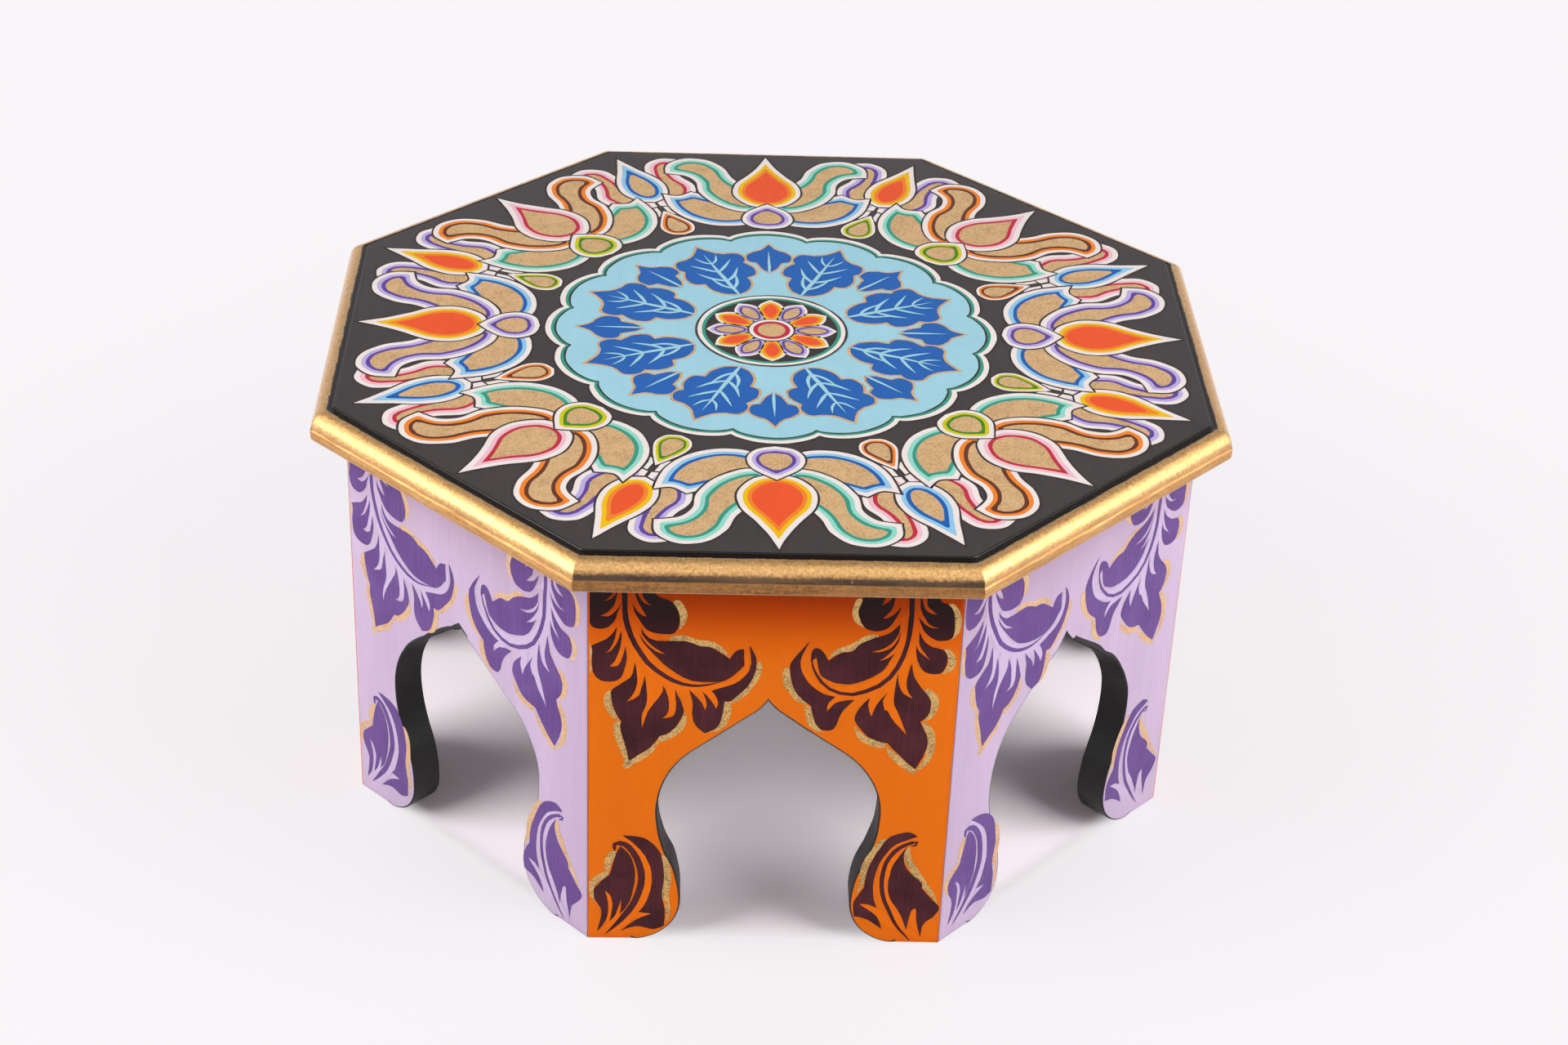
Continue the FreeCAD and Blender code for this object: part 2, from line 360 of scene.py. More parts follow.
def brushed_paint(name, body, worn, streak_share, gloss, shine, grime_and_shade, seed):
    """Paint brushed up and down a board: streaks, specks, dents, rubbed arrises, shade painted at the
    top.
    """
    material, start, place = new_material(name)
    own = start.node("ObjectInfo", {}, {}, "Random") * 20 + seed
    streaks = place.stretched(900, 60, 22).grain(1.0, 4.0, 0.6, own)
    broad = place.stretched(45, 30, 14).grain(1.0, 2.0, 0.5, own + 3)
    specks = place.grain(620, 1.0, 0.4, own + 5)
    height = place.part("Z")
    from_arris = half_side - abs(place.part("X"))
    ragged = place.grain(160, 3.0, 0.6, own + 8) * 2.2 * MM
    arris = 1 - from_arris.between(0.2 * MM, 1.0 * MM + ragged)
    foot = 1 - height.between(0.5 * MM, 3 * MM + ragged * 2)
    tone = (streaks - 0.5) * streak_share + (broad - 0.5) * streak_share
    light = tuple(min(1.0, part * 1.16 + 0.012) for part in body[:3]) + (1.0,)
    dark = tuple(part * 0.80 for part in body[:3]) + (1.0,)
    colour = (tone + 0.5).blend(dark, light)
    colour = (specks.between(0.70, 0.78) * 0.35).blend(colour, light)
    colour = (specks.between(0.24, 0.17) * 0.3).blend(colour, dark)
    # Painted shade towards the moulding's overhang, in part dirt.
    colour = shade_under_moulding(place, colour, body, grime_and_shade)
    colour = (arris * 0.35 + foot * 0.4).blend(colour, worn)
    dents = place.stretched(1, 1, 0.7).grain(75, 2.0, 0.5, own + 11).between(0.72, 0.8)
    relief = streaks * 0.45 + broad * 0.3 - dents * 0.7 + specks * 0.25
    coat(start, {"Base Color": colour,
                 "Roughness": gloss + (broad - 0.5) * 0.16 + dents * 0.1,
                 "Specular IOR Level": shine, "Coat Weight": shine * 0.2, "Coat Roughness": 0.16,
                 "Normal": start.bump(relief, 0.22 * MM, 0.55)})
    return material


# The last but one number is how much shade, partly dirt, is painted in under the moulding.
orange_paint = brushed_paint("orange_paint", srgb(254, 121, 4), srgb(218, 96, 14), 0.30, 0.45,
                             0.04, 0.88, 1.0)
lilac_paint = brushed_paint("lilac_paint", srgb(201, 180, 208), srgb(180, 150, 184), 0.60, 0.46,
                            0.30, 0.20, 4.0)


def satin_black(name, grain_share, sheen, brown):
    """Black sprayed or brushed on wood, with the grain just felt through it."""
    material, start, place = new_material(name)
    fibres = place.stretched(14, 14, 260).grain(1.0, 4.0, 0.65, 2.0)
    cloud = place.grain(38, 3.0, 0.5, 6.0)
    flecks = place.grain(900, 1.0, 0.5, 9.0)
    colour = cloud.blend(srgb(15, 12, 12), srgb(26, 22, 22))
    colour = (fibres.between(0.52, 0.75) * grain_share).blend(colour, brown)
    colour = (flecks.between(0.74, 0.80) * 0.3).blend(colour, srgb(70, 64, 60))
    relief = fibres * 0.6 + cloud * 0.3 + flecks * 0.2
    coat(start, {"Base Color": colour, "Roughness": sheen + cloud * 0.14,
                 "Specular IOR Level": 0.35,
                 "Normal": start.bump(relief, 0.25 * MM, 0.5)})
    return material


board_black = satin_black("board_black", 0.12, 0.36, srgb(58, 46, 38))

for step, side in enumerate(SIDES):
    paint = lilac_paint if step % 2 else orange_paint
    board = place_mesh("board_" + side, build_board(side), [paint, board_black])
    board.matrix_world = Matrix.Rotation(step * EIGHTH, 4, "Z")
    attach(board, "root")
    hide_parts("side_" + side)

# Leaf sprays on the sides: painted freehand in three coats, a bronze edging, a lighter ground
# for the veins, and the leaf itself, laid so that the veins stay free. Each half of a side
# carries one hanging spray under the moulding and one leaf on the foot.

# Drawn in millimetres, the right half mirrored. The runs of an outline meet in points, and
# each starts where the one before it ended.
LEFT_LEAVES = [
    [[(-94.3, 232), (-94.1, 215), (-94.2, 205), (-92.2, 200.4), (-88.5, 199), (-84.5, 200),
     (-81, 203.8), (-79.2, 209.2), (-77.3, 215.8)], [(-79.5, 211.2), (-82.2, 207.8),
     (-84.7, 206.6), (-87.9, 207)], [(-84.5, 209), (-81.8, 212.2), (-80, 216.5), (-79.2, 222)],
     [(-81, 219), (-83.2, 216.6), (-86.8, 215.4)], [(-84, 217.6), (-82, 220), (-81, 225),
     (-80.5, 232)], [(-94.3, 232)]],
    [[(-72.3, 215.6), (-71.4, 211.5), (-70.2, 207.7), (-65.2, 200), (-60.6, 197.5), (-55.2, 196.8),
     (-51, 197.7), (-48.4, 202), (-48.1, 207), (-49.8, 212), (-52.9, 216.5), (-60.6, 220.4),
     (-62, 232)], [(-67, 232)], [(-67.2, 220.4), (-65.8, 217), (-61.9, 213.1)], [(-65.5, 214.8),
     (-68, 217.5), (-69.4, 221), (-69.8, 226)], [(-70.6, 220.4), (-69.5, 216.2), (-67.5, 212.3),
     (-64.7, 206.9)], [(-67.2, 207.7), (-69.3, 209.9), (-71, 212.8), (-72.3, 215.6)]],
    [[(-92.5, 189.2), (-88.3, 191.5), (-84.5, 193.8), (-81.8, 196.9), (-79.8, 200.4)],
     [(-80.2, 196.2), (-81.8, 190.8), (-83.3, 186.9), (-85.6, 184.5)], [(-82.5, 186.2),
     (-80.6, 189.2), (-78.7, 193.8), (-77.2, 198.6)], [(-77.2, 191), (-78.9, 183.1),
     (-80.6, 179.2), (-83.1, 176.4)], [(-79.5, 176.5), (-77.5, 178.8), (-76.2, 183.8),
     (-75, 189.6)], [(-74.6, 183.8), (-75.1, 177.7), (-76.8, 171.5), (-79.8, 168.1),
     (-84.5, 167.3), (-88.3, 168.5), (-91, 172), (-92.3, 179.2), (-92, 186), (-92.5, 189.2)]],
    [[(-67.9, 200.4), (-65.2, 196.2), (-62.2, 193.6), (-57.5, 192.4), (-46.8, 192.8),
     (-42.2, 191.9), (-37.5, 189.6)], [(-32.2, 188.9), (-27.5, 186.2), (-22.5, 182.3)],
     [(-21.2, 185.3), (-19.1, 187.6), (-15.6, 188.6)], [(-15.6, 183.8), (-15.2, 178.5)],
     [(-16.8, 176.2), (-20.2, 172.3), (-24.5, 169.3), (-28.5, 168.2)], [(-36, 167.9), (-42.2, 169),
     (-48.3, 171.9), (-53.7, 176.2), (-60.6, 183.8), (-64.1, 188.1), (-66.8, 192.3),
     (-68.6, 197.3)], [(-66.4, 193.2), (-63.7, 189.4), (-59.8, 186), (-55, 184.5)],
     [(-60.6, 188.3), (-64.5, 192.5), (-67, 196.3), (-67.9, 200.4)]],
    [[(-70.5, 179.4), (-71.5, 173.1), (-73.7, 169.2), (-81.4, 162.7), (-82.3, 158.5),
     (-80.2, 148.5), (-77.4, 142.8)], [(-77.6, 138), (-74.8, 126.9), (-73.1, 117.5)],
     [(-67.5, 122.3), (-62.2, 126.5), (-56.8, 134.4)], [(-53.7, 135.4), (-49.8, 139.2),
     (-46.8, 144.6), (-45.2, 149.5)], [(-46.8, 156.2), (-49.6, 163.4)], [(-49.3, 157),
     (-49.5, 150), (-51, 146), (-56.3, 144.8)], [(-53.6, 147.5), (-52.9, 154), (-54, 161),
     (-56.2, 165.6)], [(-56.6, 160.8), (-61.4, 153), (-64.8, 145.4), (-66.5, 138.8)],
     [(-66.6, 146), (-64, 155), (-64.2, 163), (-65.4, 171.3)], [(-66.9, 164), (-68.6, 158.5),
     (-74.8, 154.8)], [(-71, 160), (-69.4, 166), (-69.4, 173), (-70.5, 179.4)]],
    [[(-12.9, 190.9), (-10.6, 186.9), (-9.1, 182.3), (-9.1, 176.9), (-10.2, 171.5), (-12.9, 166.2),
     (-21, 156.9), (-24.8, 156.3)], [(-25.1, 149.5), (-26.4, 143.1), (-29.1, 138.8), (-34.1, 136)],
     [(-39.5, 141.5), (-41.1, 148), (-40.8, 154.6), (-42.9, 163)], [(-39.1, 158.5), (-36, 154.6),
     (-34.6, 150.5)], [(-33.8, 153.8), (-34.5, 157.7), (-36.2, 162.4)], [(-32.9, 158.5),
     (-30.2, 154.6), (-28.7, 151.4)], [(-27.9, 154.6), (-28.7, 158.5), (-31.3, 162.8)],
     [(-22.9, 166.2), (-17.5, 169.2), (-13.7, 173.1), (-12.2, 177.7), (-11.9, 182.3),
     (-12.9, 190.9)]],
    [[(-76.9, 62.6), (-79, 58.2), (-81, 50.9), (-82.6, 43.7)], [(-89.1, 37.1), (-91, 33.1),
     (-90.5, 27.8), (-86.9, 19), (-89, 5.1)], [(-85.7, 10.3), (-83.4, 17), (-83.2, 26),
     (-85.1, 33.3)], [(-82, 29.5), (-80.8, 22.8), (-82.6, 12.1)], [(-79, 17), (-76.3, 27.4)],
     [(-76.3, 21), (-77.1, 17.2)], [(-73.5, 22.1), (-70.1, 32.8), (-69.4, 45.9), (-71.9, 56.5),
     (-76.9, 62.6)]],
    [[(-76.3, 69.4), (-71, 69.3), (-62.9, 67.1), (-57.3, 60.9), (-54.9, 54), (-53.5, 42.8),
     (-54.8, 31.5), (-53.1, 20), (-53.4, 9.6)], [(-59.1, 7.6), (-67.5, 9.1), (-76.6, 5.8)],
     [(-68.5, 13.4), (-60.3, 17.8)], [(-67.1, 18.7)], [(-63.5, 24), (-60.4, 36.5), (-61.3, 49),
     (-66, 60.3), (-76.3, 69.4)]],
]
RIGHT_LEAVES = [
    [[(-81.8, 232), (-81.8, 220), (-86.2, 217.2), (-89, 213.3), (-90.2, 205.6), (-89.2, 197.6),
     (-84, 195.3), (-79.6, 196.7), (-74, 202), (-71, 210)], [(-74, 206.1), (-77.9, 203.6),
     (-82.3, 203.2)], [(-77.3, 205.2), (-74, 210), (-72, 215.6), (-71.5, 226)], [(-74, 215.6),
     (-77.3, 212.2), (-81.2, 211.5)], [(-77.9, 214), (-75.1, 218.5), (-74.5, 232)],
     [(-81.8, 232)]],
    [[(-42.9, 232), (-42.9, 220), (-41, 212), (-42.9, 205), (-45.7, 201.7), (-50.7, 200.6),
     (-55.1, 201.7), (-58.4, 205), (-60.7, 210), (-62.7, 216.1)], [(-59.6, 211.7), (-56.8, 209.2),
     (-53.2, 208.2)], [(-56.2, 211.7), (-58.4, 215.6), (-59.6, 224)], [(-56.5, 219), (-54.2, 217),
     (-51.2, 215.7)], [(-53.5, 218.2), (-55.5, 232)], [(-42.9, 232)]],
    [[(-72.1, 200.9), (-75.1, 195.6), (-79.6, 191.7), (-85.7, 189.4), (-87.6, 183.5),
     (-85.7, 176.9), (-81.8, 175.3), (-77.3, 176.1), (-74, 179.4), (-71.8, 185.6), (-71.3, 192.8)],
     [(-73.4, 188.3), (-78.4, 183.9)], [(-74.6, 189.4), (-72.7, 194.4), (-72.1, 200.9)]],
    [[(-62.6, 205.3), (-59.6, 201.7), (-55.1, 198.3), (-48.4, 196.1), (-42.9, 192.8), (-39, 188.3),
     (-33.4, 187.2), (-27, 182.2)], [(-24.3, 187.6), (-21.2, 189.8), (-18.7, 188), (-18.2, 181.5)],
     [(-21, 184.2)], [(-23.4, 174.4), (-27.9, 170.6), (-33, 168.8), (-39.6, 168.7), (-46.2, 170.6),
     (-51.8, 173.9), (-57.3, 180), (-62.7, 192.8)], [(-60.5, 187.6), (-57.3, 184.4),
     (-53.2, 182.7)], [(-56.8, 185.8), (-60.1, 190.6), (-62.1, 195.6), (-62.9, 200.6)],
     [(-61.2, 195.6), (-58.4, 191.2), (-54, 188.5), (-48.2, 188.2)], [(-54, 190), (-58.4, 193.5),
     (-61.6, 199), (-62.6, 205.3)]],
    [[(-69.6, 182.2), (-70.4, 176.7), (-72.3, 171.1), (-79.6, 161.1), (-80.9, 156.1), (-79.6, 150),
     (-76, 145.6)], [(-80.1, 135.6), (-79.6, 126), (-75.1, 115.6)], [(-68.4, 121.7),
     (-60.1, 132.2)], [(-55.1, 132.8), (-49.6, 135.6), (-43.4, 143.9), (-42.5, 148),
     (-44.5, 153.8), (-49.6, 159.7)], [(-48.8, 154.4), (-50.3, 148.2)], [(-53, 155.5),
     (-58.4, 163.9)], [(-56.3, 158), (-57.6, 152.3)], [(-59, 152), (-62.9, 145), (-69.3, 136.7)],
     [(-64.6, 150), (-61.7, 159), (-62.9, 175.6)], [(-63.8, 168.5), (-66.5, 163), (-71.2, 160)],
     [(-68.4, 165), (-67.5, 172), (-69.6, 182.2)]],
    [[(-17.7, 194.4), (-10.7, 185), (-8.2, 177.5), (-10.1, 166.1), (-14, 159.4), (-19.6, 154.4)],
     [(-20.7, 147.8), (-23.4, 141.7), (-27.3, 139.4), (-32, 140.6), (-35.7, 151.1),
     (-41.8, 158.7)], [(-36.2, 158), (-31.5, 156.2), (-27.6, 151.3)], [(-28.2, 156),
     (-31.8, 160.2)], [(-26.2, 161.7), (-20.7, 165.6), (-16.2, 171.1), (-13.8, 177.8),
     (-13.6, 185), (-17.7, 194.4)]],
    [[(-73.9, 65.2), (-72.4, 58.1), (-74.9, 50), (-81.1, 43.1), (-83, 39.6), (-82.7, 37.5)],
     [(-88.6, 30.6), (-93.3, 25), (-90.5, 18.8), (-85.5, 13.1), (-84.1, 4.1)], [(-81.6, 14),
     (-80.6, 23.3), (-78.3, 21.9)], [(-77, 16), (-76.1, 9.1)], [(-73, 18.8), (-66.8, 30),
     (-65, 42.5), (-68, 55), (-73.9, 65.2)]],
    [[(-78.8, 72), (-75.5, 74.1), (-71.8, 74.6), (-63.9, 70.6), (-56.8, 58.1), (-52.9, 45),
     (-52.4, 37.5)], [(-47.6, 28), (-47.8, 18.1)], [(-55.5, 15.6), (-62.9, 9.3)], [(-59.6, 18.8),
     (-50.8, 26.6)], [(-55.5, 26.3), (-59.9, 23.9)], [(-57.8, 32), (-57.4, 42.5), (-60.5, 55),
     (-68, 66.3), (-78.8, 72)]],
]
LEFT_RIBS = [
    ([(-75.6, 232), (-75.8, 211), (-73.7, 199), (-65.2, 180.8), (-52.2, 169.2), (-39, 165.5),
      (-25.5, 168.6)], 1.35, 0.1),
    ([(-79.6, 59.5), (-80.2, 63.2), (-78.5, 64.6), (-73.4, 62.8), (-68.5, 55.6), (-65.8, 43),
      (-67, 32), (-73, 18.3), (-85.1, 3.1)], 1.9, 0.3),
]
RIGHT_RIBS = [
    ([(-67.6, 232), (-67.6, 207.8), (-65.1, 185.6), (-56.2, 169.4), (-40.7, 162), (-27.3, 166.1),
      (-19.3, 179), (-20.3, 188.5)], 1.25, 0.1),
    ([(-75.5, 65.6), (-78.2, 66.4), (-78, 68.6), (-71, 65), (-64.5, 57), (-61.5, 42.5),
      (-64.5, 26), (-71, 12.5), (-79.5, 0.5)], 1.2, 0.2),
]
VEIN_GROUND = [
    ([(-74, 232), (-73, 205), (-65, 182), (-52, 168), (-39, 164.5), (-22, 167), (-14.5, 176),
      (-14, 190)], 5.0, 0.2),
    ([(-78, 224), (-79, 211), (-85, 206)], 2.4, 0.4), ([(-69, 224), (-67, 212), (-60, 208)], 2.6, 0.4),
    ([(-76, 202), (-78, 184), (-82, 178)], 3.6, 0.4), ([(-65, 200), (-60, 190), (-52, 186)], 3.2, 0.4),
    ([(-68, 178), (-68.5, 162), (-73, 155)], 3.4, 0.4), ([(-61, 172), (-61, 158), (-67, 138)], 4.8, 0.4),
    ([(-52, 168), (-50.5, 154), (-53, 146)], 3.4, 0.4), ([(-36, 166), (-31, 158), (-29, 151)], 4.2, 0.4),
    ([(-78, 69), (-70, 64), (-65, 54), (-63, 40), (-67, 24), (-76, 10), (-86, 2)], 4.2, 0.3),
    ([(-84, 33), (-80, 20), (-84, 6)], 4.0, 0.5), ([(-52, 26), (-61, 19), (-72, 8)], 3.0, 0.5),
]
LEFT_EDGING = [
    [(-51, 217), (-47.2, 211), (-46.4, 205.4), (-48.3, 199.6)],
    [(-96, 221), (-96.2, 212), (-95.5, 203)],
    [(-91.5, 189.5), (-94.3, 184), (-94.6, 178), (-91.8, 171.5)],
    [(-53.5, 193.2), (-46.8, 194.3), (-38.7, 191.6), (-32.2, 190.9), (-27.5, 188.1), (-22.6, 183)],
    [(-7.9, 181), (-8.5, 173.8), (-10.6, 168.3), (-17.5, 158.5), (-23.2, 154.6)],
    [(-23.6, 156.5), (-22.9, 150), (-24.1, 144.6), (-26.4, 140.4), (-32, 136.6)],
    [(-81.5, 161.5), (-84, 156.5), (-82.4, 149), (-78.6, 142.6)],
    [(-78.8, 143), (-78.9, 136), (-76, 126.2), (-74.3, 119), (-75.8, 113)],
    [(-75.6, 113.4), (-71.4, 117.3), (-62, 124.8), (-57.5, 131.2)],
    [(-57.8, 131.2), (-49.8, 136.6), (-45.6, 142.5), (-44.8, 149.5)],
    [(-79.4, 59.3), (-83.2, 52.4), (-83.9, 44)],
    [(-83.2, 44.6), (-90.4, 39.6), (-92.6, 34), (-90.6, 25.6)],
    [(-55.3, 57), (-52.4, 49), (-51.9, 39), (-52.9, 31), (-51.2, 19), (-52.6, 10.5)],
]
RIGHT_EDGING = [
    [(-42.3, 220), (-39.9, 213.3), (-40.8, 207.4), (-44.8, 202.4)],
    [(-86.5, 217.8), (-90.8, 211), (-91.4, 202.2), (-88.6, 196.4)],
    [(-85.5, 190), (-89.6, 185.6), (-89.4, 180), (-85.8, 175.6)],
    [(-52, 197), (-45.7, 195.8), (-39.8, 191), (-31.5, 188), (-27.4, 183.4)],
    [(-77, 166), (-82, 161), (-82.9, 155.6), (-80.9, 150), (-77.2, 145.6)],
    [(-77.4, 145), (-81.8, 137.8), (-82.3, 128.9), (-80.7, 121.1), (-75, 113.4)],
    [(-75.6, 113.4), (-68.4, 119.0), (-62.6, 125.0), (-59.2, 130.6)],
    [(-59.4, 130.6), (-52.9, 131.4), (-46.4, 135.2), (-42.6, 142)],
    [(-6.4, 177.5), (-7.3, 167.8), (-11.8, 160), (-18.4, 153.8)],
    [(-17.8, 154.2), (-19.4, 145.6), (-22.6, 140.6), (-27, 138)],
    [(-74.6, 65.2), (-74, 59.4), (-78.6, 49.4), (-84.3, 39.4), (-89.3, 32.5), (-92.2, 26.5)],
    [(-63.2, 69.9), (-57.4, 63.1), (-52.6, 52), (-51, 42), (-48.5, 32.5)],
]
leaf_wobble = 0.55
spray_hub = (-74, 225)
foot_hub = (-74, 8)
foot_top = 90
noise.seed_set(1)

# How far a spray or foot leaf strays across and up, and leans, by its side and half.
spray_strays = {(7, False): (2.4, 0.4, -2.6), (7, True): (4.5, -2.0, 0.8), (0, False): (0, 0, 0),
                (0, True): (0, 0, 0), (1, False): (1.4, 0.8, 0.3), (1, True): (1.5, 4.5, 0.0)}
foot_strays = {(7, False): (0.3, 5.0, 0.0), (7, True): (3.5, 2.0, 0.0), (0, False): (0, 0, 0),
               (0, True): (0, 0, 0), (1, False): (1.5, 3.5, 0.0), (1, True): (2.0, 5.5, 0.0)}
paint_lift = 0.04 * MM
spray_steps = 5


def through(points, steps):
    """Smooth line through points, with a number of steps between each two."""
    ends = [points[0]] + list(points) + [points[-1]]
    line = [Vector(points[0])]
    for index in range(1, len(ends) - 2):
        before, first, second, after = [Vector(point) for point in ends[index - 1:index + 3]]
        for step in range(1, steps + 1):
            t = step / steps
            line.append(0.5 * (2 * first + (second - before) * t
                               + (2 * before - 5 * first + 4 * second - after) * t * t
                               + (3 * first - before - 3 * second + after) * t ** 3))
    return line


def wavering(point, seed, amount):
    """A point moved as an unsteady hand would, in the same units."""
    sway = noise.noise_vector(Vector((point.x * 0.09, point.y * 0.09, seed)))
    shake = noise.noise_vector(Vector((point.x * 0.4, point.y * 0.4, seed + 5)))
    return point + amount * Vector((sway.x + 0.35 * shake.x, sway.y + 0.35 * shake.y))


def joined(runs):
    """Runs of an outline, each with the last point of the one before put first."""
    return [before[-1:] + run for before, run in zip([[]] + runs, runs)]


def smooth_outline(runs, steps):
    """Closed outline of smooth runs that meet in points."""
    outline = []
    for run in runs:
        outline += through(run, steps)[:-1]
    return outline


def brush_half_width(share, belly, fade):
    """Share of a brush mark's half width: round where it lands, drawn out to a point."""
    if share < belly:
        return math.sqrt(max(0.0, 1 - ((belly - share) / belly) ** 2))
    return 1 - ((share - belly) / (1 - belly)) ** fade


def brush_faces(points, half_width, belly, place, fade=1.7, samples=26):
    """Quads of one brush mark along a line."""
    line = through(points, 8)
    lengths = [0.0]
    for first, second in zip(line, line[1:]):
        lengths.append(lengths[-1] + (second - first).length)
    sides = []
    for sample in range(samples + 1):
        share = (1 - math.cos(math.pi * sample / samples)) / 2
        width = half_width * brush_half_width(share, belly, fade)
        if width <= 0 and 0 < sample < samples:
            continue
        reach = share * lengths[-1]
        index = max(i for i, length in enumerate(lengths) if length <= reach + 1e-9)
        index = min(index, len(line) - 2)
        along = line[index + 1] - line[index]
        part = (reach - lengths[index]) / max(1e-9, along.length)
        spot = line[index] + along * part
        before = line[max(0, index - 1)]
        after = line[min(len(line) - 1, index + 2)]
        heading = (after - before).normalized()
        out = Vector((-heading.y, heading.x)) * max(0.0, width)
        if width > 0:
            sides.append((place(spot + out), place(spot - out)))
    return [[first[0], first[1], second[1], second[0]]
            for first, second in zip(sides, sides[1:])]


def side_painter(step, mirror, seed, lift):
    """Function that puts a point of the left half's drawing on a side, by a human hand."""
    turn = Matrix.Rotation(step * EIGHTH, 4, "Z")
    sway = random.Random(seed)
    loose = (sway.uniform(-1.5, 1.5), sway.uniform(-1.5, 3.0), sway.uniform(-2.5, 2.5))
    limit = half_side - 1.0 * MM

    def place(point):
        on_foot = point.y < foot_top
        hub = Vector(foot_hub if on_foot else spray_hub)
        across, up, lean = (foot_strays if on_foot else spray_strays).get((step, mirror), loose)
        arm = point - hub
        arm.rotate(Matrix.Rotation(math.radians(lean), 2))
        spot = wavering(hub + arm + Vector((across, up)), seed, leaf_wobble)
        across = max(-limit, spot.x * MM) * (-1 if mirror else 1)
        up = min(board_height - 0.5 * MM, max(1.8 * MM, spot.y * MM))
        return turn @ Vector((across, -board_face - lift, up))

    return place


def painted_piece(name, coats):
    """Make an object of flat paint marks: a list of materials with their faces."""
    mesh = bmesh.new()
    middle = Vector((0, 0, board_height / 2))
    for index, (_, faces) in enumerate(coats):
        for corners in faces:
            face = mesh.faces.new([mesh.verts.new(corner) for corner in corners])
            face.material_index = index
            face.normal_update()
            if face.normal.dot(face.calc_center_median() - middle) < 0:
                face.normal_flip()
    bmesh.ops.triangulate(mesh, faces=[face for face in mesh.faces if len(face.verts) > 4])
    piece = place_mesh(name, mesh, [material for material, _ in coats])
    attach(piece, "root")


def enamel(name, paint, variation=0.10, gloss=0.36, seed=0.0, shine=0.07, depth=0.0):
    """Flat enamel laid with a soft brush: faint streaks, slight pooling, fine tooth."""
    material, start, place = new_material(name)
    drag = place.stretched(260, 45, 1).grain(1.0, 3.0, 0.6, seed)
    pool = place.grain(34, 2.0, 0.5, seed + 2)
    tooth = place.grain(1400, 2.0, 0.6, seed + 4)
    light = tuple(min(1.0, part * (1 + variation) + 0.004) for part in paint[:3]) + (1.0,)
    dark = tuple(part * (1 - variation) for part in paint[:3]) + (1.0,)
    colour = ((drag - 0.5) * 0.8 + (pool - 0.5) * 0.9 + 0.5).blend(dark, light)
    # Painted shade towards the moulding's overhang, in part dirt, as deep as depth says.
    if depth:
        colour = shade_under_moulding(place, colour, paint, depth)
    coat(start, {"Base Color": colour, "Roughness": gloss + (pool - 0.5) * 0.12,
                 "Specular IOR Level": shine,
                 "Normal": start.bump(drag * 0.5 + tooth * 0.3 + pool * 0.3, 0.1 * MM, 0.5)})
    return material


def leaf_gloss(name, dark, light, pebble, streak, gloss, seed, shine, depth):
    """Thick leaf colour: pebbled and glossy on the orange, thin and streaky on the lilac."""
    material, start, place = new_material(name)
    pebbles = place.grain(430, 3.0, 0.55, seed)
    pits = place.grain(150, 4.0, 0.6, seed + 2).between(0.60, 0.70)
    drag = place.stretched(800, 800, 30).grain(1.0, 3.0, 0.6, seed + 4)
    pool = place.grain(48, 2.0, 0.5, seed + 6)
    colour = (pool * 0.6 + drag * 0.4).between(0.3, 0.7).blend(dark, light)
    # Painted shade towards the moulding's overhang, in part dirt.
    colour = shade_under_moulding(place, colour, dark, depth)
    relief = pebbles * pebble + pits * (pebble * 0.5) + drag * streak
    coat(start, {"Base Color": colour, "Roughness": gloss + (pebbles - 0.5) * 0.2,
                 "Specular IOR Level": shine,
                 "Normal": start.bump(relief, 0.8 * MM, 0.8)})
    return material


def bronze_edging(name, pale, dark, seed, metal=0.22):
    """Bronze powder paint with a coarse glittering grain."""
    material, start, place = new_material(name)
    powder = place.grain(900, 3.0, 0.75, seed)
    thin = place.grain(130, 2.0, 0.5, seed + 3)
    colour = (powder * 0.85 + thin * 0.25).between(0.40, 0.62).blend(dark, pale)
    coat(start, {"Base Color": colour, "Metallic": metal,
                 "Roughness": 0.45 + (powder - 0.5) * 0.4,
                 "Normal": start.bump(powder, 0.3 * MM, 0.7)})
    return material
